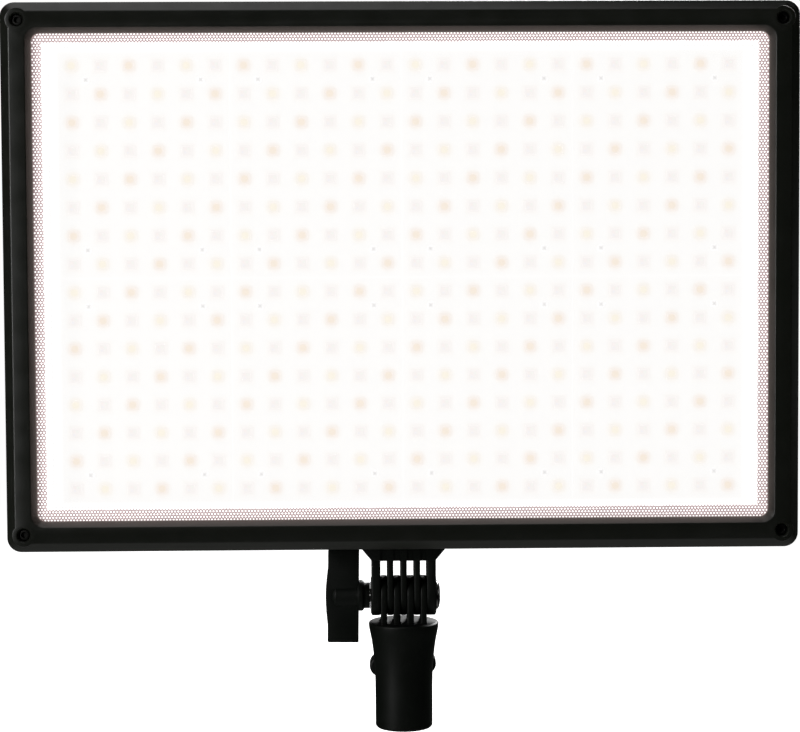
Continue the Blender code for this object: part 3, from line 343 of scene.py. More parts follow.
SHEET_WHITE = (1.0, 0.993, 0.988)
SHEET_GLOW = 0.950
SEEN_THROUGH = 0.60  # of each of the sheet's two faces
# The boards glow with painted light, standing in for the LEDs' light on them; the LED packages glow at the
# same strength.
BOARD_WHITE = (0.985, 0.965, 0.95)
BOARD_GLOW = 0.755


def grid_offset(m, value, pitch, half_cells):
    """How far a coordinate in millimetres is from the centre of its LED cell, and the cell's number."""
    cells = m.plus(m.math("DIVIDE", value, pitch), half_cells)
    number = m.math("FLOOR", cells)
    offset = m.times(m.minus(m.minus(cells, number), 0.5), pitch)
    return m.math("ABSOLUTE", offset), number


def panel_coordinates(m):
    """X and Z in millimetres, from the panel's centre."""
    place = m.add("TexCoord", {}).outputs["Object"]
    parts = m.add("SeparateXYZ", {0: place}).outputs
    return m.times(parts["X"], 1 / MM), m.minus(m.times(parts["Z"], 1 / MM), BEZEL.z)


def hypotenuse(m, first, second):
    return m.math("SQRT", m.plus(m.times(first, first), m.times(second, second)))


def led_offsets(m):
    """How far each way from the nearest LED's centre, and the numbers of its column and row."""
    x, z = panel_coordinates(m)
    from_x, column = grid_offset(m, x, PITCH_X, COLUMNS / 2)
    from_z, row = grid_offset(m, z, PITCH_Z, ROWS / 2)
    return from_x, from_z, column, row


def lit_board():
    """White boards with a painted glow from end to end, standing in for the LEDs' light on them, and a
    painted pool of each LED's coloured light round it.
    """
    m = Nodes("white_board")
    from_x, from_z, column, row = led_offsets(m)
    kind = m.math("MODULO", m.plus(m.minus(column, row), ROWS + 1), 4.0)
    # Painted light: a pool of each LED's light on the board, round for the white LEDs and square for the
    # colour ones.
    halo = m.minus(1.0, m.smooth(hypotenuse(m, from_x, from_z), 1.9, 5.2))
    square = m.minus(1.0, m.smooth(m.math("MAXIMUM", from_x, from_z), 2.6, 4.6))
    warm = m.math("COMPARE", kind, 0.0)
    cool = m.math("COMPARE", kind, 2.0)
    odd = m.minus(1.0, m.plus(warm, cool))
    colour = m.mix(m.times(halo, warm), BOARD_WHITE, (0.86, 0.68, 0.54))
    colour = m.mix(m.times(halo, cool), colour, (0.90, 0.77, 0.62))
    colour = m.mix(m.times(square, odd), colour, (0.92, 0.84, 0.79))
    trace = m.minus(1.0, m.smooth(m.math("ABSOLUTE", m.minus(from_z, 4.8)), 0.12, 0.3))
    along = m.minus(1.0, m.smooth(from_x, 3.4, 3.6))
    colour = m.mix(m.times(m.times(trace, along), 0.3), colour, (0.8, 0.8, 0.78))
    base = m.mix(m.noise(4.0), (0.20, 0.20, 0.19), (0.24, 0.24, 0.23))
    m.lit(base, colour, BOARD_GLOW, 0.6, 0.0)
    m.bump(m.noise(0.4), 0.01)


def lit_package(name, centre, edge):
    """Part of an LED, glowing; its colour runs from its centre to its edge, a painted blur of its light as
    the sheet would spread it.
    """
    m = Nodes(name)
    from_x, from_z, _, _ = led_offsets(m)
    colour = m.mix(m.smooth(hypotenuse(m, from_x, from_z), 0.9, 3.0), centre, edge)
    grain = m.noise(0.5, 3.0)
    glow = m.mix(m.times(grain, 0.08), colour, (1.0, 1.0, 1.0))
    m.lit(m.mix(grain, tint(centre, 0.16), tint(centre, 0.22)), glow, BOARD_GLOW, 0.4, 0.1)
    m.bump(grain, 0.01)


def inset_from_edge(m):
    """Millimetres in from the panel's nearest edge, less where the sheet shows more of its lenses."""
    x, z = panel_coordinates(m)
    from_left = m.plus(x, WIDTH / 2)
    from_right = m.minus(WIDTH / 2 - 0.4, x)
    from_bottom = m.plus(z, HEIGHT / 2 - 1.0)
    from_top = m.minus(HEIGHT / 2 + 0.2, z)
    return m.least(m.least(from_left, from_right), m.least(from_bottom, from_top))


def hexagons(m, across, up):
    """Distance from the nearest centre of a lattice of hexagons, in millimetres."""
    x, z = panel_coordinates(m)
    reaches = []
    for shift in (0.0, 0.5):
        from_x, _ = grid_offset(m, x, across, shift)
        from_z, _ = grid_offset(m, z, 2 * up, shift)
        reaches.append(hypotenuse(m, from_x, from_z))
    return m.least(*reaches)


def lens_sheet():
    """The sheet's glow over what shows through it, with the relief of its hexagonal lenses."""
    m = Nodes("microlens_sheet")
    drift = m.noise(60.0, 2.0)
    lens = m.smooth(hexagons(m, CELL_ACROSS, CELL_UP), 0.35, 0.85)
    glow = m.mix(drift, SHEET_WHITE, tint(SHEET_WHITE, 1.015))
    glow = m.mix(m.times(lens, 0.5), glow, tint(SHEET_WHITE, 0.97))
    m.lit(m.mix(drift, (0.05, 0.05, 0.05), (0.04, 0.04, 0.04)), glow, SHEET_GLOW, 0.3, 0.3)
    m.set(Alpha=1 - SEEN_THROUGH)
    m.bump(m.minus(1.0, lens), 0.05)


def lens_lattice():
    """The lattice between the lenses, whose glow is painted shade next to the lip, darker and
    pinkish-brown, and fades to white away from it.
    """
    m = Nodes("lens_lattice")
    fade = m.smooth(m.plus(inset_from_edge(m), m.ramp(m.noise(7.0), -0.5, 0.5)), *LATTICE_FADE)
    # Painted shade: the lattice's dim pinkish-brown glow next to the lip.
    dark = m.mix(m.noise(11.0), (0.26, 0.18, 0.185), (0.18, 0.132, 0.134))
    base = m.mix(m.noise(3.0), (0.3, 0.24, 0.24), (0.25, 0.2, 0.2))
    m.lit(base, m.mix(fade, dark, (0.975, 0.962, 0.952)), 1.0, 0.5, 0.2)


def lens_glow():
    """The lenses of the band, a little warmer next to the lip."""
    m = Nodes("lens_glow")
    warm = m.minus(1.0, m.smooth(inset_from_edge(m), 13.8, 15.2))
    base = m.mix(m.noise(3.0), (0.8, 0.8, 0.8), (0.7, 0.7, 0.7))
    m.lit(base, m.mix(m.times(warm, 0.6), SHEET_WHITE, (1.0, 0.93, 0.90)), 1.0, 0.3, 0.2)


def circuit_board():
    """Green solder mask with copper tracks under it."""
    m = Nodes("green_board")
    flat = m.add("Mapping", {"Vector": m.place(), "Rotation": (radians(90), 0, 0)}).outputs[0]
    inputs = {"Vector": flat, "Scale": 1.0, "Mortar Size": 0.35, "Brick Width": 7.0, "Row Height": 2.4}
    tracks = m.add("TexBrick", inputs, offset=0.5).outputs["Fac"]
    m.set(Base_Color=m.mix(tracks, (0.008, 0.06, 0.025), (0.02, 0.13, 0.05)))
    m.set(Roughness=m.ramp(m.noise(3.0), 0.25, 0.42))
    m.bump(tracks, 0.03)


def dark_glass():
    """A tinted window that shows the display under it."""
    m = Nodes("display_glass")
    m.set(Base_Color=m.mix(m.noise(30.0), (0.004, 0.005, 0.006), (0.008, 0.009, 0.011)))
    m.set(Roughness=m.ramp(m.noise(5.0, 4.0), 0.12, 0.18), Specular_IOR_Level=0.25)
    clear = m.add("BsdfTransparent", {0: (0.75, 0.78, 0.8, 1)}).outputs[0]
    blend = m.add("MixShader", {0: 0.8, 1: m.shader.outputs[0], 2: clear})
    m.put(m.output.inputs["Surface"], blend.outputs[0])


def make_materials():
    moulded("black_plastic", (0.0034, 0.0040, 0.0027), 0.37, 0.31, drift=0.12)
    moulded("black_nylon", (0.0012, 0.0018, 0.0012), 0.46, 0.14, grain=0.5, depth=0.015)
    moulded("soft_knob", (0.012, 0.012, 0.012), 0.66, 0.30, grain=0.22, depth=0.010)
    # The baffle's glow is painted light from the LEDs.
    glowing("grey_baffle", (0.95, 0.92, 0.90), 0.85, base=(0.2, 0.19, 0.185), roughness=0.6)
    moulded("black_foam", (0.02, 0.02, 0.02), 0.95, 0.1, grain=0.6, depth=0.15)
    moulded("black_component", (0.02, 0.02, 0.023), 0.45, 0.4, grain=0.4)
    moulded("wire_sleeve", (0.03, 0.03, 0.035), 0.5, 0.4, grain=0.5, depth=0.01)
    moulded("white_paint", (0.42, 0.42, 0.41), 0.6, 0.3, grain=0.3, depth=0.004, drift=0.06)
    metal("steel", (0.55, 0.55, 0.54), 0.28, stretch=(1, 0.12, 0.12))
    metal("black_oxide", (0.022, 0.022, 0.021), 0.42, drift=0.3)
    metal("dark_chrome", (0.24, 0.24, 0.235), 0.18, size=1.6, depth=0.002)
    metal("brass", (0.62, 0.45, 0.20), 0.30, stretch=(0.15, 1, 0.15))
    metal("aluminium", (0.72, 0.73, 0.74), 0.40, stretch=(0.05, 1, 1))
    lit_package("warm_body", (0.86, 0.63, 0.44), (0.92, 0.79, 0.69))
    lit_package("warm_phosphor", (0.84, 0.56, 0.25), (0.90, 0.74, 0.60))
    lit_package("cool_body", (0.92, 0.77, 0.56), (0.945, 0.86, 0.77))
    lit_package("cool_phosphor", (0.94, 0.78, 0.45), (0.93, 0.82, 0.70))
    lit_package("colour_body", (0.90, 0.80, 0.75), (0.945, 0.88, 0.85))
    lit_package("die_window", (0.86, 0.76, 0.72), (0.90, 0.80, 0.76))
    # The board screws' glow is painted light, dimmer in their cross recesses as painted shade.
    glowing("screw_painted_light", (0.90, 0.88, 0.87), 0.80, (0.3, 0.3, 0.3), 0.3, mottle=0.12, size=70.0)
    glowing("recess_painted_shade", (0.42, 0.38, 0.37), 0.80, base=(0.1, 0.1, 0.1), mottle=0.3, size=70.0)
    glowing("display_light", (0.55, 0.80, 1.0), 1.1, base=(0.2, 0.3, 0.4), size=2.0)
    # The reflector film's glow is painted light from the LEDs.
    glowing("white_film", SHEET_WHITE, 0.85, base=(0.2, 0.2, 0.2))
    lit_board()
    lens_sheet()
    lens_lattice()
    lens_glow()
    circuit_board()
    dark_glass()


# Shapes


def towards(direction):
    """The rotation that turns +Z to that direction."""
    return Vector(direction).to_track_quat("Z", "Y").to_matrix().to_4x4()


def solid(name, bm):
    """An object from shapes in millimetres."""
    bmesh.ops.scale(bm, vec=(MM, MM, MM), verts=bm.verts)
    bmesh.ops.recalc_face_normals(bm, faces=bm.faces)
    return mesh_object(name, bm)


def settle(obj):
    """Applies the object's modifiers to its mesh."""
    graph = bpy.context.evaluated_depsgraph_get()
    mesh = bpy.data.meshes.new_from_object(obj.evaluated_get(graph))
    obj.modifiers.clear()
    obj.data = mesh
    return obj


def combine(target, operation, *others):
    """A union or difference with other objects, which are used up."""
    for other in others:
        modifier = target.modifiers.new(operation, "BOOLEAN")
        modifier.operation = operation
        modifier.solver = "EXACT"
        modifier.object = other
    settle(target)
    for other in others:
        bpy.data.objects.remove(other)
    return target


def cut(target, *others):
    return combine(target, "DIFFERENCE", *others)


def join(target, *others):
    return combine(target, "UNION", *others)


def round_edges(obj, width, segments, angle):
    modifier = obj.modifiers.new("round_edges", "BEVEL")
    modifier.width = width * MM
    modifier.segments = segments
    modifier.limit_method = "ANGLE"
    modifier.angle_limit = radians(angle)
    return settle(obj)


def piece(obj, name, material, node=None, body="lamp_head", slot=None):
    """Names the object, gives it its material, and fastens it to a body, in the place of a CAD node.

    Its slot argument is not used.
    """
    obj.name = name
    obj.data.name = name
    slot = slot or material
    if isinstance(material, str):
        obj.data.materials.clear()
        material = (material,)
    for part in material:
        obj.data.materials.append(MATERIALS[part])
    obj.data.shade_smooth()
    obj.data.set_sharp_from_angle(angle=radians(SMOOTH_ANGLE))
    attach(obj, body)
    if node:
        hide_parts(node)
    return obj


def ring_faces(bm, loops, material=0):
    """Quads between loops of points, one after the other. A loop of one point is a tip."""
    for first, second in zip(loops, loops[1:]):
        count = max(len(first), len(second))
        for i in range(count):
            j = (i + 1) % count
            if len(first) == 1:
                corners = (first[0], second[i], second[j])
            elif len(second) == 1:
                corners = (first[i], first[j], second[0])
            else:
                corners = (first[i], first[j], second[j], second[i])
            bm.faces.new(corners).material_index = material


def rounded_rectangle(width, height, radius, centre=(0.0, 0.0), steps=CORNER_STEPS):
    """Outline points, anticlockwise, with an arc at each corner."""
    points = []
    for corner in range(4):
        across = width / 2 - radius
        up = height / 2 - radius
        centre_u = centre[0] + (across if corner in (0, 3) else -across)
        centre_v = centre[1] + (up if corner in (0, 1) else -up)
        for step in range(steps + 1):
            angle = pi / 2 * (corner + step / steps)
            points.append((centre_u + radius * cos(angle), centre_v + radius * sin(angle)))
    return points


def softened(profile, closed=False):
    """A profile whose last number at each point is how far before it a curve starts to round it off."""
    result = []
    count = len(profile)
    for index, (*place, size) in enumerate(profile):
        place = Vector(place)
        if size == 0 or (not closed and index in (0, count - 1)):
            result.append(place)
            continue
        before = Vector(profile[index - 1][:-1])
        after = Vector(profile[(index + 1) % count][:-1])
        start = place + (before - place).normalized() * size
        end = place + (after - place).normalized() * size
        for step in range(SOFT_STEPS + 1):
            t = step / SOFT_STEPS
            result.append((1 - t) ** 2 * start + 2 * t * (1 - t) * place + t**2 * end)
    return result


def panel_loft(name, sections, ring):
    """Rounded rectangles at (inset from the panel's edge, y, corner radius), joined in order."""
    bm = bmesh.new()
    loops = []
    for inset, y, radius in sections:
        outline = rounded_rectangle(WIDTH - 2 * inset, HEIGHT - 2 * inset, radius)
        loops.append([bm.verts.new((BEZEL.x + u, y, BEZEL.z + v)) for u, v in outline])
    if ring:
        ring_faces(bm, [*loops, loops[0]])
    else:
        ring_faces(bm, loops)
        bm.faces.new(loops[0])
        bm.faces.new(loops[-1])
    return solid(name, bm)


def turned(name, profile, origin, direction, steps=ROUND, hollow=False, shape=None):
    """A profile of (radius, distance along the axis), turned about the axis, softened if it says how much.

    A shape gives the radius at each (number of the point, angle, radius), for knurls and sockets.
    """
    bm = bmesh.new()
    if len(profile[0]) == 3:
        profile = softened(profile, hollow)
    place = Matrix.Translation(origin) @ towards(direction)
    loops = []
    for number, (radius, along) in enumerate(profile):
        if radius < 1e-6:
            loops.append([bm.verts.new(place @ Vector((0, 0, along)))])
            continue
        loop = []
        for step in range(steps):
            angle = 2 * pi * step / steps
            r = shape(number, angle, radius) if shape else radius
            loop.append(bm.verts.new(place @ Vector((r * cos(angle), r * sin(angle), along))))
        loops.append(loop)
    ring_faces(bm, [*loops, loops[0]] if hollow else loops)
    return solid(name, bm)


# How a slab's outline (u, v) and its depth map to X, Y, Z, for each axis that it runs along
SLAB_AXES = {
    "x": lambda u, v, w: (w, u, v),
    "y": lambda u, v, w: (u, w, v),
    "z": lambda u, v, w: (u, v, w),
}


def add_prism(bm, *ends):
    """A closed shape between two outlines."""
    loops = [[bm.verts.new(corner) for corner in end] for end in ends]
    ring_faces(bm, loops)
    for loop in loops:
        bm.faces.new(loop)


def slab(name, outline, start, end, axis, edge, segments, angle=40):
    """An outline extruded along an axis, with its edges rounded. It is (Y, Z), (X, Z) or (X, Y)."""
    bm = bmesh.new()
    to_space = SLAB_AXES[axis]
    add_prism(bm, *([to_space(u, v, w) for u, v in outline] for w in (start, end)))
    obj = solid(name, bm)
    return round_edges(obj, edge, segments, angle) if edge else obj


def rectangle(width, height, centre=(0.0, 0.0)):
    corners = ((1, 1), (-1, 1), (-1, -1), (1, -1))
    return [(centre[0] + su * width / 2, centre[1] + sv * height / 2) for su, sv in corners]


def leaned(outline, degrees, centre):
    """An outline about its own origin, turned by so many degrees and put at that centre."""
    c, s = cos(radians(degrees)), sin(radians(degrees))
    return [(centre[0] + u * c + v * s, centre[1] + v * c - u * s) for u, v in outline]


def block(name, place, size, start, end, edge=0.0, segments=2):
    """A box of that size about that (X, Z), from one Y to another."""
    return slab(name, rectangle(*size, place), start, end, "y", edge, segments)


def rounded_block(name, place, size, radius, start, end, edge=0.0, steps=CORNER_STEPS):
    """A box with rounded corners."""
    return slab(name, rounded_rectangle(*size, radius, place, steps), start, end, "y", edge, 3, 60)


def rod(name, radius, start, end, steps=ROUND):
    start, end = Vector(start), Vector(end)
    length = (end - start).length
    return turned(name, [(0, 0), (radius, 0), (radius, length), (0, length)], start, end - start, steps)


def repeated(name, source, places):
    """Copies of one object in one mesh. The object itself is used up."""
    bm = bmesh.new()
    for place in places:
        before = len(bm.verts)
        bm.from_mesh(source.data)
        bm.verts.ensure_lookup_table()
        bmesh.ops.translate(bm, vec=Vector(place) * MM, verts=bm.verts[before:])
    bpy.data.objects.remove(source)
    return mesh_object(name, bm)


def corner_places(inset, y=0.0):
    x, z = WIDTH / 2 - inset, HEIGHT / 2 - inset
    return [(BEZEL.x + sx * x, y, BEZEL.z + sz * z) for sx in (-1, 1) for sz in (-1, 1)]


# Front of the head


def make_bezel():
    rim_y = FRONT_Y + CHAMFER - 0.1
    land_y = FRONT_Y + 0.08
    lip_back = SHEET_LOW.y - GAP
    sections = [
        (0.0, PARTING_Y, OUTER_CORNER, 0.3),
        (0.0, rim_y, OUTER_CORNER, 0.5),
        (CHAMFER, land_y, 3.2, 0.45),
        (LAND_INNER, land_y, 5.8, 0.4),
        (LIP_INNER, lip_back - 1.2, 3.8, 0.6),
        (LIP_INNER, lip_back, 3.8, 0.2),
        (SEAT_INSET, lip_back, 3.2, 0.0),
        (SEAT_INSET, PARTING_Y, 3.2, 0.0),
    ]
    bezel = panel_loft("bezel", softened(sections, closed=True), True)
    boss = [(0, 0), (4.85, 0), (5.1, 0.08), (5.25, 0.32), (5.3, 5.0), (0, 5.0)]
    boss = turned("boss", boss, (0, FRONT_Y, 0), (0, 1, 0))
    post = rod("post", 4.8, (0, FRONT_Y + 3, 0), (0, PARTING_Y - GAP, 0))
    mouth = [(0, -1), (4.4, -1), (3.35, 0.0), (2.85, 0.55), (2.7, 1.0), (2.7, 3.4), (0, 3.4)]
    mouth = turned("mouth", mouth, (0, FRONT_Y, 0), (0, 1, 0))
    hole = rod("hole", 1.7, (0, FRONT_Y, 0), (0, PARTING_Y + 1, 0), 24)
    corners = corner_places(CORNER_SCREW)
    join(bezel, repeated("bosses", boss, corners), repeated("posts", post, corners))
    cut(bezel, repeated("mouths", mouth, corners), repeated("holes", hole, corners))
    piece(bezel, "bezel_frame", "black_plastic", "front_bezel")


def hexagon(reach):
    """The radius of a hexagon at each angle."""

    def at(angle):
        return reach / cos((angle + pi / 6) % (pi / 3) - pi / 6)

    return at


def socket_screw(name, place, direction, head, shank, key):
    """A cap screw with a hexagonal socket, from the outer face of its head."""
    head_radius, head_length = head
    shank_radius, shank_length = shank
    end = head_length + shank_length
    profile = [
        (0, 1.1), (key, 1.1), (key, 0.18), (key + 0.2, 0), (head_radius - 0.3, 0),
        (head_radius - 0.08, 0.09), (head_radius, 0.32), (head_radius, head_length - 0.1),
        (head_radius - 0.1, head_length),
        (shank_radius, head_length), (shank_radius, end - 0.5), (shank_radius - 0.4, end), (0, end),
    ]
    six = hexagon(key)

    def shape(number, angle, radius):
        if number in (1, 2):
            return six(angle)
        if number in (6, 7):
            return radius - 0.05 * (1 + cos(24 * angle))
        return radius

    return turned(name, profile, place, direction, 96, shape=shape)


def make_bezel_screws():
    for number, place in enumerate(corner_places(CORNER_SCREW, FRONT_Y + 1.6)):
        name = f"bezel_screw_{number + 1}"
        screw = socket_screw(name, place, (0, 1, 0), (2.35, 1.9), (1.2, 26.0), 1.25)
        piece(screw, f"socket_screw_{number + 1}", "black_oxide", name, slot="steel")


def make_sheet():
    inset = (WIDTH - (SHEET_HIGH.x - SHEET_LOW.x)) / 2
    sections = [
        (inset + 0.25, SHEET_LOW.y, 8.8),
        (inset, SHEET_LOW.y + 0.25, 9.0),
        (inset, SHEET_HIGH.y - 0.25, 9.0),
        (inset + 0.25, SHEET_HIGH.y, 8.8),
    ]
    sheet = panel_loft("sheet", sections, False)
    piece(sheet, "lens_panel", "microlens_sheet", "diffuser_panel")


def make_lens_band():
    """Rows of hexagonal lenses along the lip. Each has a bright cap and darker flanks, whose darkness next
    to the lip is painted shade.
    """
    bm = bmesh.new()
    front = SHEET_LOW.y
    width, height = WIDTH - 2 * LIP_INNER, HEIGHT - 2 * LIP_INNER
    columns = int(width / CELL_ACROSS / 2) + 2
    rows = int(height / CELL_UP / 2) + 2
    rings = ((1.0, 0.01), (0.52, 0.12), (0.30, 0.18))  # the size of each ring and how far it rises
    for row in range(-rows, rows + 1):
        for column in range(-columns, columns + 1):
            x = (column + row % 2 / 2) * CELL_ACROSS
            z = (row + 0.5) * CELL_UP
            edge = min(width / 2 - abs(x), height / 2 - abs(z))
            if not -0.75 < edge < BAND_WIDTH:
                continue
            loops = []
            for size, rise in rings:
                loop = []
                for side in range(6):
                    angle = radians(30 + 60 * side)
                    u = CELL_ACROSS / sqrt(3) * size * cos(angle)
                    v = CELL_UP / 1.5 * size * sin(angle)
                    loop.append(bm.verts.new((BEZEL.x + x + u, front - rise, BEZEL.z + z + v)))
                loops.append(loop)
            ring_faces(bm, loops[:2], 0)
            ring_faces(bm, loops[1:], 1)
            bm.faces.new(loops[-1]).material_index = 1
    band = solid("band", bm)
    piece(band, "lens_band", ("lens_lattice", "lens_glow"), slot="microlens_sheet")


def led_site(column, row):
    """The centre of an LED, with columns from the left and rows from the bottom."""
    x = (column - (COLUMNS - 1) / 2) * PITCH_X
    z = (row - (ROWS - 1) / 2) * PITCH_Z
    return BEZEL.x + x, BEZEL.z + z


def led_kind(column, row):
    """Tungsten, daylight or colour, on the diagonals from the top left."""
    from_top = ROWS - row
    step = (column + 1 + from_top) % 4
    return {0: "tungsten", 2: "daylight"}.get(step, "colour")


def square_or_circle(half, roundness):
    """Points between a square and a circle."""
    points = []
    for step in range(LED_STEPS):
        angle = 2 * pi * step / LED_STEPS
        c, s = cos(angle), sin(angle)
        square = half / max(abs(c), abs(s))
        radius = square + (half - square) * roundness
        points.append((radius * c, radius * s))
    return points


def add_led(bm, x, z, kind):
    """A package with its chamfered body, its cup, and phosphor or four dies in it."""
    cup = 0.0 if kind == "colour" else 1.0
    rings = [(2.5, 0.0, 0), (2.5, 0.85, 0), (2.3, 1.05, 0), (2.0, 1.05, cup), (1.75, 0.75, cup)]
    loops = []
    for half, rise, roundness in rings:
        y = BOARD_FRONT - rise
        loops.append([bm.verts.new((x + u, y, z + v)) for u, v in square_or_circle(half, roundness)])
    ring_faces(bm, loops, 0)
    centre = bm.verts.new((x, BOARD_FRONT - (0.75 if kind == "colour" else 1.0), z))
    ring_faces(bm, [loops[-1], [centre]], 1)
    if kind != "colour":
        return
    for number, (du, dv) in enumerate(((-0.75, 0.75), (0.75, 0.75), (-0.75, -0.75), (0.75, -0.75))):
        loops = []
        for size, rise in ((0.7, 0.7), (0.6, 0.9)):
            corners = rectangle(size, size, (x + du, z + dv))
            loops.append([bm.verts.new((u, BOARD_FRONT - rise, v)) for u, v in corners])
        ring_faces(bm, loops, 2 + number)
        bm.faces.new(loops[1]).material_index = 2 + number


def make_leds():
    lit = {
        "tungsten": ("warm_body", "warm_phosphor"),
        "daylight": ("cool_body", "cool_phosphor"),
        "colour": ("colour_body", "die_window", "die_red", "die_green", "die_blue", "die_white"),
    }
    glows = ((0.95, 0.66, 0.60), (0.72, 0.88, 0.70), (0.72, 0.74, 0.92), (0.95, 0.86, 0.78))
    for name, glow in zip(lit["colour"][2:], glows):
        glowing(name, glow, 0.80, base=tint(glow, 0.15))
    for kind, materials in lit.items():
        bm = bmesh.new()
        for column in range(COLUMNS):
            for row in range(ROWS):
                if led_kind(column, row) == kind:
                    add_led(bm, *led_site(column, row), kind)
        piece(solid(kind, bm), "leds_" + kind, materials, slot="white_board")


def cross_recess(root, reach):
    """Makes the second and third points of a screw's profile into a cross."""

    def shape(number, angle, radius):
        return root + reach * abs(cos(2 * angle)) ** 3 if number in (1, 2) else radius

    return shape


def make_board_screws():
    """Four pan-head screws hold each board, between its outermost rows and columns."""
    profile = [
        (0, -0.3), (0.5, -0.35), (0.7, -0.95), (1.1, -0.95), (1.5, -0.75), (1.7, -0.35), (1.75, 0), (0, 0),
    ]
    place = (0, BOARD_FRONT - 0.02, 0)
    screw = turned("screw", profile, place, (0, 1, 0), 24, shape=cross_recess(0.25, 0.5))
    for face in screw.data.polygons:
        face.material_index = int(Vector((face.center.x, 0, face.center.z)).length < 0.7 * MM)
    places = []
    for board in range(8):
        middle = span(f"led_board_{board + 1}")[2]
        for sx in (-1, 1):
            for sz in (-1, 1):
                places.append((middle.x + sx * 2 * PITCH_X, 0.0, middle.z + sz * 3 * PITCH_Z))
    screws = repeated("screws", screw, places)
    # The heads glow with painted light, and the cross recesses glow dimmer as painted shade.
    piece(screws, "board_screws", ("screw_painted_light", "recess_painted_shade"), slot="steel")


def make_reflector():
    """White film between the boards and the heat spreader, seen round the boards, with a painted glow
    standing in for the LEDs' light on it.
    """
    spreader_low, spreader_high, _ = span("heat_spreader")
    margin = 1.0
    width = spreader_high.x - spreader_low.x - 2 * margin
    height = spreader_high.z - spreader_low.z - 2 * margin
    back = spreader_low.y - 0.05
    film = rounded_block("film", (BEZEL.x, BEZEL.z), (width, height), 4.0, back - 0.1, back, steps=4)
    piece(film, "reflector_film", "white_film", slot="white_board")


def make_face_light():
    """The sheet's own light on the lip round it and on what stands in front."""
    light = soft_light("sheet_light", (0, 0, 0), (0.33, 0.218), 0.55, (1.0, 0.73, 0.67))
    aim(light, (BEZEL.x * MM, (SHEET_LOW.y - 0.25) * MM, BEZEL.z * MM), (BEZEL.x * MM, -5.0, BEZEL.z * MM))
    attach(light, "lamp_head")


# Tilt head

DISC = 9.3  # radius of the fingers' round ends
HEAD_HALF = 14.6  # half the foot's width at the root of its fingers
BOLT_HOLE = 3.3  # radius
FOOT_LOW, FOOT_HIGH, _ = span("tilt_foot")
FINGER_ROOT = PIVOT.z + 17.2
RIM_Z = PIVOT.z - 12.2  # the receiver's upper rim
SLIVER = 0.06  # the running gap between the fingers


def finger(name, x, thickness, base_z, base_half, upward):
    """A flat finger from its base to a round end about the tilt axis, with rounded edges."""
    first = 0.0 if upward else pi
    arc = [first + pi * step / 24 for step in range(25)]
    ends = [(DISC * cos(a), PIVOT.z + DISC * sin(a)) for a in arc]
    foot = [(-base_half, base_z), (base_half, base_z)]
    outline = ends + (foot if upward else foot[::-1])
    return slab(name, outline, x - thickness / 2, x + thickness / 2, "x", 0.65, 3)


def make_tilt_foot():
    half, top = (FOOT_HIGH.x - FOOT_LOW.x) / 2, FOOT_HIGH.z
    outline = [(-half, top), (-HEAD_HALF, FINGER_ROOT), (HEAD_HALF, FINGER_ROOT), (half, top)]
    foot = slab("foot", outline, -9.0, 9.0, "y", 0.6, 3)
    base_z, base_half = FINGER_ROOT + 3.0, 8.2
    fingers = [finger("finger", x, 2.9, base_z, base_half, False) for x in (-6.2, 0.0, 6.2)]
    for side in (-1, 1):
        fingers.append(finger("outer_finger", side * 12.8, 4.2, base_z, base_half, False))
        pad = [(0, 13.6), (8.5, 13.6), (8.5, 14.9), (8.2, 15.2), (0, 15.2)]
        fingers.append(turned("pad", pad, (0, 0, PIVOT.z), (side, 0, 0)))
    join(foot, *fingers)
    pockets = []
    start, end = FINGER_ROOT - 1.0, top - 0.8
    for x, width in ((3.1, 3.2), (9.2, 3.0)):
        for side in (-1, 1):
            for y in (-8.9, 8.9):
                place = (side * x, (start + end) / 2)
                pockets.append(block("pocket", place, (width, end - start), y - 0.6, y + 0.6))
    cut(foot, rod("bolt_hole", BOLT_HOLE, (-20, 0, PIVOT.z), (20, 0, PIVOT.z)), *pockets)
    piece(foot, "clamp_foot", "black_nylon", "tilt_foot")


def make_clamp():
    axis = (0, 0, PIVOT.z)
    head = span("clamp_bolt")[1].x - 2.3 - 0.22
    end = -span("clamp_bolt")[0].x
    profile = [(0, head + 1.3, 0), (1.9, head + 1.3, 0), (2.1, head + 1.9, 0.1), (3.1, head + 1.9, 0.4)]
    profile += [(5.3, head + 1.5, 0.8), (6.6, head + 0.7, 0.3), (6.6, head, 0.1), (3.0, head, 0)]
    profile += [(3.0, -end + 0.5, 0), (2.5, -end, 0), (0, -end, 0)]
    six = hexagon(1.75)

    def shape(number, angle, radius):
        return six(angle) if number == 1 else radius

    bolt = turned("bolt", profile, axis, (1, 0, 0), 96, shape=shape)
    piece(bolt, "pivot_bolt", "dark_chrome", "clamp_bolt", slot="steel")

    low, high, _ = span("clamp_washer")
    start, finish = -high.x - 0.04, -low.x - 0.33
    ring = [(6.2, finish, 0.12), (6.2, start, 0.12), (BOLT_HOLE, start, 0.1), (BOLT_HOLE, finish, 0.1)]
    washer = turned("washer", ring, axis, (-1, 0, 0), hollow=True)
    piece(washer, "thrust_washer", "dark_chrome", "clamp_washer", "clamp_washer", "steel")

    low, high, _ = span("tilt_knob")
    start, hub_end = -high.x - 0.57, 33.0
    hub = [(0, hub_end, 0), (4.6, hub_end, 0.3), (5.8, 31.6, 0.3), (5.8, 21.4, 0.2), (7.15, 20.9, 0.3)]
    hub += [(7.15, 19.0, 0.3), (5.95, 18.2, 0.3), (5.95, start, 0.3), (0, start, 0)]
    knob = turned("knob", hub, axis, (-1, 0, 0))
    join(knob, slab("bar", tee_outline(low, high), -4.3, 4.3, "y", 0.9, 3))
    bore = rod("bore", 4.0 + GAP, (-start + 2, 0, PIVOT.z), (-31.0, 0, PIVOT.z))
    cut(knob, bore)
    piece(knob, "tee_knob", "black_nylon", "tilt_knob", "tilt_knob")


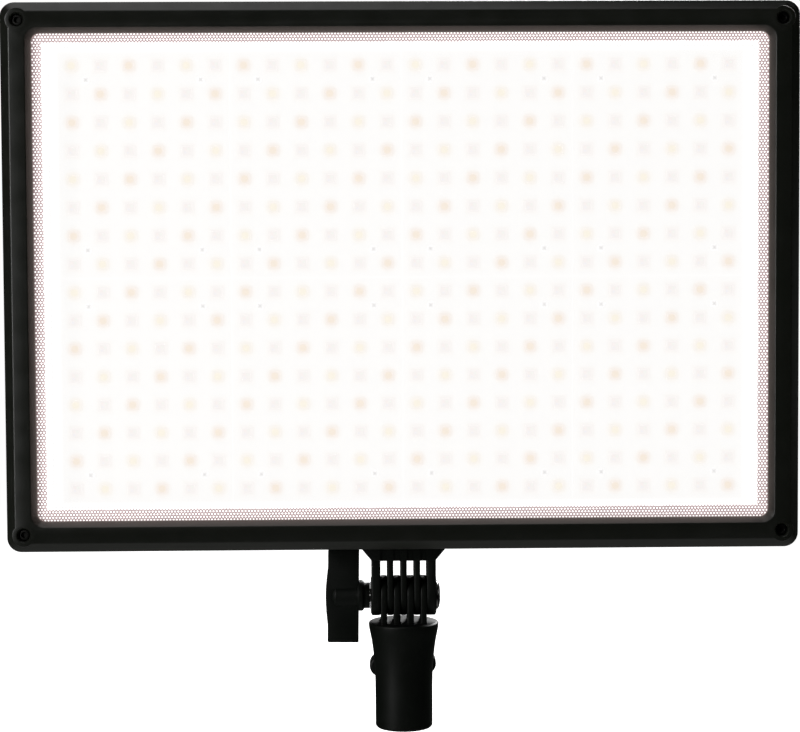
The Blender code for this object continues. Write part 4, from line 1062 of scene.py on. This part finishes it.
def tee_outline(low, high):
    """The tee bar in (X, Z): flat towards the head, bulging outwards, and a little out of square."""
    bulge, bulge_half, corner = 1.0, 13.6, 0.5
    inner, outer = -20.7, low.x + bulge
    half = (high.z - low.z) / 2
    points = [(inner, -half), (inner, half), (outer + corner, half), (outer, half - corner)]
    for step in range(17):
        t = 1 - step / 8
        points.append((outer - bulge * cos(t * pi / 2), t * bulge_half))
    points += [(outer, corner - half), (outer + corner, -half)]
    return leaned(points, 0.7, (0, PIVOT.z))


def make_receiver():
    depth = 40.0
    profile = [
        (0, RIM_Z, 0), (15.7, RIM_Z, 0.2), (16.3, RIM_Z - 0.6, 0.3), (16.05, RIM_Z - 3.0, 1.0),
        (14.9, RIM_Z - 8.5, 2.5), (14.05, RIM_Z - 15.0, 3.0), (13.5, RIM_Z - 22.0, 3.0),
        (13.3, RIM_Z - 29.0, 3.0), (13.25, 0.9, 0.4), (12.5, 0, 0.3), (9.2, 0, 0.2), (8.2, 1.0, 0.3),
        (8.2, depth, 0.2), (0, depth + 0.6, 0),
    ]
    body = turned("receiver", profile, (0, 0, 0), (0, 0, 1), 96)
    lower = []
    for inner, outer in ((1.45, 4.75), (7.65, 10.7)):  # the spaces between the foot's fingers
        middle, thickness = (inner + outer) / 2, outer - inner - 2 * SLIVER
        for side in (-1, 1):
            lower.append(finger("lower_finger", side * middle, thickness, RIM_Z - 2.0, 8.4, True))
    lock_z = span("lock_pad")[2].z
    boss = [(0, 9.6, 0), (6.5, 9.6, 0), (6.5, 17.0, 0.5), (0, 17.0, 0)]
    lower.append(turned("boss", boss, (0, 0, lock_z), (0, 1, 0)))
    join(body, *lower)
    cut(
        body,
        rod("pivot_hole", BOLT_HOLE, (-20, 0, PIVOT.z), (20, 0, PIVOT.z)),
        rod("lock_hole", 3.8, (0, 5.0, lock_z), (0, 19.0, lock_z)),
    )
    piece(body, "spigot_receiver", "black_nylon", "stand_receiver", "stand_receiver")


def make_lock_knob():
    low, high, middle = span("lock_knob")
    axis = (0, 0, middle.z)
    hub = [(0, 24.0, 0), (6.0, 24.0, 0.4), (6.3, 22.0, 0.5), (6.3, 19.2, 0.4)]
    hub += [(5.8, low.y, 0.3), (0, low.y, 0)]
    knob = turned("knob", hub, axis, (0, 1, 0))
    reach, end = 15.9, 5.1
    outline = []
    for side in (1, -1):
        for step in range(17):
            angle = pi * (step / 16 - 0.5)
            u = reach - end + end * cos(angle)
            outline.append((side * u, side * end * sin(angle)))
    join(knob, slab("wings", leaned(outline, -2.7, (0, middle.z)), 22.5, high.y, "y", 1.2, 4))
    cut(knob, rod("bore", 2.8, (0, 15.0, middle.z), (0, 30.6, middle.z)))
    piece(knob, "wing_knob", "black_nylon", "lock_knob", "lock_knob")


# Rear of the head


def vent_slots():
    banks = ((22.0, 106.0, 65.5, 5), (66.0, 140.0, -81.5, 4))
    slots = []
    for low_x, high_x, first, rows in banks:
        place, size = ((low_x + high_x) / 2, 0.0), (high_x - low_x, 3.0)
        slot = rounded_block("slot", place, size, 1.4, REAR_Y - 5, REAR_Y + 2, steps=6)
        places = []
        for row in range(rows):
            z = BEZEL.z + first + row * 6.5
            places += [(0, 0, z), (-low_x - high_x, 0, z)]
        slots.append(repeated("slots", slot, places))
    return slots


def make_housing():
    wall = 2.2
    sections = [
        (SEAT_INSET, REAR_Y - wall, 3.2, 0.4),
        (SEAT_INSET, HOUSING_LOW.y, 3.2, 0.0),
        (1.0, HOUSING_LOW.y, 5.5, 0.3),
        (1.0, REAR_Y - 4.5, 5.5, 1.5),
        (5.5, REAR_Y, 2.5, 1.5),
    ]
    housing = panel_loft("housing", softened(sections), False)
    above, below = REAR_Y + 1, REAR_Y - 0.5
    groove = [(11.6, above, 6), (11.6, below, 6), (12.4, below, 6), (12.4, above, 6)]
    cut(housing, panel_loft("groove", groove, True), *vent_slots())
    piece(housing, "rear_shell", "black_plastic", "rear_housing")


def make_control_panel():
    low, high, glass = span("display_window")
    dimmer, button = span("dimmer_knob")[2], span("mode_button")[2]
    back, top = REAR_Y + GAP, CONTROL_HIGH.y
    size = (CONTROL_HIGH.x - CONTROL_LOW.x, CONTROL_HIGH.z - CONTROL_LOW.z)
    plate = rounded_block("plate", (0, CONTROL.z), size, 5.0, back, top, 0.7)
    through = (back - 1, top + 1)
    cutters = [rounded_block("window", (0, glass.z), (54.0, 26.0), 1.2, *through, steps=4)]
    dish = [(0, -0.6), (11.4, -0.6), (12.0, 0.5), (0, 0.5)]
    for side in (-1, 1):
        x = side * abs(dimmer.x)
        cutters.append(rod("bore", 4.1, *((x, y, dimmer.z) for y in through)))
        cutters.append(turned("dish", dish, (x, top, dimmer.z), (0, 1, 0)))
        place = (side * abs(button.x), button.z)
        cutters.append(rounded_block("slot", place, (11.0, 6.0), 1.3, *through, steps=5))
    cut(plate, *cutters)
    piece(plate, "control_plate", "black_plastic", "control_panel")

    size = (high.x - low.x, high.z - low.z)
    pane = block("glass", (glass.x, glass.z), size, low.y, high.y, 0.25)
    piece(pane, "display_glass", "display_glass", "display_window")
    make_knob_scale(abs(dimmer.x), dimmer.z, top)
    make_readout(glass.z, span("display_module")[1].y)


def make_knob_scale(reach, z, top):
    """Raised ticks round both knobs, longer at every fifth."""
    bm = bmesh.new()
    start, half = 12.8, 0.16
    for side in (-1, 1):
        for tick in range(21):
            angle = radians(-135 + 270 * tick / 20)
            outward = Vector((sin(angle), 0, cos(angle)))
            across = Vector((cos(angle), 0, -sin(angle))) * half
            end = start + (1.9 if tick % 5 == 0 else 1.1)
            ends = []
            for y in (top - 0.1, top + 0.08):
                centre = Vector((side * reach, y, z))
                near, far = centre + outward * start, centre + outward * end
                ends.append((near + across, far + across, far - across, near - across))
            add_prism(bm, *ends)
    piece(solid("scale", bm), "knob_scale", "white_paint", slot="black_plastic")


# Segments of a digit, as (u, v, is upright), and those that each digit lights
SEGMENTS = (
    (0, 1, False), (0.5, 0.5, True), (0.5, -0.5, True), (0, -1, False), (-0.5, -0.5, True),
    (-0.5, 0.5, True), (0, 0, False),
)
DIGITS = {"0": "abcdef", "1": "bc", "5": "acdfg", "6": "acdefg"}


def make_readout(z, y):
    """The lit display: a number for brightness, a number for colour, and a bar under each."""
    bm = bmesh.new()

    def bar(u, v, width, height):
        corners = rectangle(width, height, (-u, z + v))
        add_prism(bm, *([(x, depth, up) for x, up in corners] for depth in (y, y + 0.12)))

    def number(text, u, v, size):
        for place, digit in enumerate(text):
            for letter in DIGITS[digit]:
                du, dv, upright = SEGMENTS["abcdefg".index(letter)]
                centre = (u + (place * 1.55 + du) * size, v + dv * size)
                length, thick = size * 0.82, size * 0.17
                bar(*centre, *((thick, length) if upright else (length, thick)))

    number("100", -20.0, 3.4, 3.4)
    number("5600", 4.5, 3.4, 3.4)
    for start in (-22.0, 3.0):
        for step in range(12):
            bar(start + 1.55 * step, -6.5, 1.1, 2.0 if step < 9 else 0.5)
    bar(0.0, 0.0, 0.3, 18.0)
    piece(solid("readout", bm), "display_segments", "display_light", slot="display_glass")


def make_knobs():
    for name in ("dimmer", "colour"):
        low, high, middle = span(name + "_knob")
        seat, length = low.y, high.y - low.y
        profile = [
            (0, length - 0.9, 0), (5.6, length - 0.9, 0.8), (6.9, length, 0.5), (8.6, length, 0.6),
            (9.35, length - 1.2, 0.4), (9.7, 2.4, 0.2), (9.7, 1.9, 0.1), (10.2, 1.6, 0.3), (10.2, 0, 0.3),
            (3.2, 0, 0.0), (3.2, length - 3.0, 0), (0, length - 3.0, 0),
        ]
        points = softened(profile)

        def knurl(number, angle, radius):
            grip = 8.9 < radius < 9.75 and 2.3 < points[number][1] < length - 0.7
            return radius - 0.22 * (1 + cos(36 * angle)) if grip else radius

        knob = turned("knob", points, (middle.x, seat, middle.z), (0, 1, 0), 144, shape=knurl)
        piece(knob, name + "_cap", "soft_knob", name + "_knob", name + "_knob")


def make_buttons():
    for name in ("mode", "effect"):
        low, high, middle = span(name + "_button")
        place = (middle.x, middle.z)
        cap = rounded_block("cap", place, (10.4, 5.4), 1.4, REAR_Y - 0.5, high.y, 0.6, 6)
        join(cap, block("flange", place, (13.0, 8.0), low.y, low.y + 1.5, 0.15, 1))
        dimple = [(0, -0.45), (1.0, -0.3), (1.6, 0.0), (1.7, 0.5), (0, 0.5)]
        cut(cap, turned("dimple", dimple, (middle.x, high.y, middle.z), (0, 1, 0), 32))
        piece(cap, name + "_key", "soft_knob", name + "_button", name + "_button")


def make_switch():
    low, high, middle = span("power_switch_frame")
    base, place, pivot_y = REAR_Y + GAP, (middle.x, middle.z), 11.0

    def pins(radius, reach):
        ends = ((middle.x + x, pivot_y, middle.z) for x in (-reach, reach))
        return rod("pins", radius, *ends, 32)

    size = (high.x - low.x, high.z - low.z)
    surround = rounded_block("surround", place, size, 1.2, base, high.y, 0.35, 5)
    join(surround, block("body", place, (14.6, 20.4), low.y, base + 0.4))
    cut(surround, block("pocket", place, (9.8, 16.2), 5.5, base + 4), pins(1.4, 6.4))
    piece(surround, "switch_surround", "black_component", "power_switch_frame")

    half = 6.8
    outline = []
    for step in range(13):
        t = step / 6 - 1
        outline.append((3.2 + 1.2 * abs(t) ** 1.7, half * t))
    outline += [(-0.5, half), (-3.4, 0.0), (-0.5, -half)]
    outline = leaned(outline, -8.0, (pivot_y, middle.z))
    rocker = slab("rocker", outline, middle.x - 4.5, middle.x + 4.5, "x", 0.35, 3)
    join(rocker, pins(1.0, 6.0))
    piece(rocker, "rocker_key", "soft_knob", "power_rocker", "power_rocker")


def make_socket():
    low, high, middle = span("dc_socket")
    base = REAR_Y + GAP
    profile = [
        (0, base + 0.4, 0), (0.75, base + 0.4, 0.2), (1.05, base, 0.1), (1.05, base - 8.5, 0),
        (3.2, base - 8.5, 0), (3.2, high.y - 0.4, 0.1), (3.6, high.y, 0.15), (5.6, high.y, 0.4),
        (6.5, high.y - 0.7, 0.2), (6.5, base, 0.1), (5.4, base, 0), (5.4, low.y, 0), (0, low.y, 0),
    ]
    socket = turned("socket", profile, (middle.x, 0, middle.z), (0, 1, 0))
    piece(socket, "power_jack", "black_component", "dc_socket")


def make_battery_plate(side_name):
    low, high, middle = span("battery_plate_" + side_name)
    latch = span("battery_latch_" + side_name)[2]
    base, top = low.y, low.y + 3.2
    x, width, height = middle.x, high.x - low.x, high.z - low.z
    contact_z = middle.z + 31.0
    plate = rounded_block("plate", (x, middle.z), (width, height), 4.0, base, top, 0.6)
    under = high.y - 1.8
    rail = [(0.0, top - 0.7), (3.0, top - 0.7), (3.0, under), (5.6, under), (5.6, high.y), (0.0, high.y)]
    shapes = []
    for edge in (-1, 1):
        bent = [(x + edge * (width / 2 - 0.4 - across), y) for across, y in rail]
        shapes.append(slab("rail", bent, middle.z - 27.0, middle.z + 35.0, "z", 0.35, 2))
        for step in range(5):
            place = (x + edge * 6.0, middle.z - 13.4 + 7.0 * step)
            shapes.append(block("rib", place, (10.0, 1.2), top - 0.3, top + 0.5, 0.2))
    shapes.append(block("block", (x, contact_z), (22.0, 9.0), top - 0.4, high.y - 3.0, 0.5))
    join(plate, *shapes)
    cutters = [rounded_block("latch_hole", (x, latch.z), (12.6, 8.6), 0.6, base - 1, top + 1, steps=4)]
    for dx in (-6.0, 0.0, 6.0):
        cutters.append(block("slot", (x + dx, contact_z), (1.4, 5.0), base - 1, high.y))
    places = [(x + sx * (width / 2 - 8.5), 0, middle.z + dz) for sx in (-1, 1) for dz in (-21.0, 21.0)]
    seat = [(0, -1.3), (3.0, -1.3), (3.0, -0.25), (3.3, 0.05), (3.3, 1), (0, 1)]
    cutters.append(repeated("seats", turned("seat", seat, (0, top, 0), (0, 1, 0)), places))
    cutters.append(repeated("holes", rod("hole", 1.7, (0, base - 1, 0), (0, top, 0), 24), places))
    cut(plate, *cutters)
    piece(plate, "battery_mount_" + side_name, "black_plastic", "battery_plate_" + side_name)

    head = [
        (0, -1.05), (1.0, -1.05), (1.2, -0.18), (1.9, -0.2), (2.5, -0.4), (2.8, -0.75), (2.85, -1.3),
        (1.45, -1.3), (1.45, -6.3), (0, -6.7),
    ]
    screw = turned("screw", head, (0, top - 0.25, 0), (0, 1, 0), 48, shape=cross_recess(0.35, 1.45))
    piece(repeated("screws", screw, places), "plate_screws_" + side_name, "black_oxide", slot="steel")


def make_latch(side_name):
    name = "battery_latch_" + side_name
    low, high, middle = span(name)
    x, z, top = middle.x, middle.z, high.y
    wedge = [(REAR_Y - 1.0, -4.0), (top - 1.6, -4.0), (top, -1.5), (top, 4.0), (REAR_Y - 1.0, 4.0)]
    cap = slab("cap", [(y, z + dz) for y, dz in wedge], x - 6.0, x + 6.0, "x", 0.4, 3)
    join(cap, block("flange", (x, z), (14.6, 10.6), low.y, low.y + 1.4, 0.2, 1))
    cut(cap, *(block("groove", (x, z + dz), (9.2, 0.7), top - 0.45, top + 1) for dz in (-0.4, 1.0, 2.4)))
    piece(cap, "latch_key_" + side_name, "soft_knob", name, name)


def make_latch_spring(side_name):
    """A coil of wire under the latch, at a fixed length."""
    name = "latch_spring_" + side_name
    low, high, middle = span(name)
    wire, turns, steps = 0.5, 5, 20
    coil, length = (high.z - low.z) / 2 - wire, high.y - low.y - 2 * wire
    section = [(wire * cos(pi * side / 4), wire * sin(pi * side / 4)) for side in range(8)]
    along = Vector((0, 1, 0))
    bm = bmesh.new()
    loops = []
    for number in range(turns * steps + 1):
        angle = 2 * pi * number / steps
        out = Vector((cos(angle), 0, sin(angle)))
        centre = Vector((middle.x, low.y + wire, middle.z)) + coil * out
        centre += along * length * number / (turns * steps)
        loops.append([bm.verts.new(centre + u * out + v * along) for u, v in section])
    bm.faces.new(loops[0])
    bm.faces.new(loops[-1])
    ring_faces(bm, loops)
    spring = piece(solid("coil", bm), "latch_coil_" + side_name, "steel", name)
    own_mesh(spring)


def finish_frame_nodes():
    """The CAD nodes that stay get the material of their slot."""
    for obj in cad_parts.values():
        slot = obj.data.materials[0].name.split(".")[0]
        obj.data.materials[0] = MATERIALS[slot]


make_camera()
bpy.context.scene.view_settings.view_transform = "Standard"
make_materials()
make_world()
make_stage()

make_bezel()
make_bezel_screws()
make_sheet()
make_lens_band()
make_leds()
make_board_screws()
make_reflector()
make_face_light()

make_tilt_foot()
make_clamp()
make_receiver()
make_lock_knob()

make_housing()
make_control_panel()
make_knobs()
make_buttons()
make_switch()
make_socket()
for side in ("left", "right"):
    make_battery_plate(side)
    make_latch(side)
    make_latch_spring(side)
finish_frame_nodes()
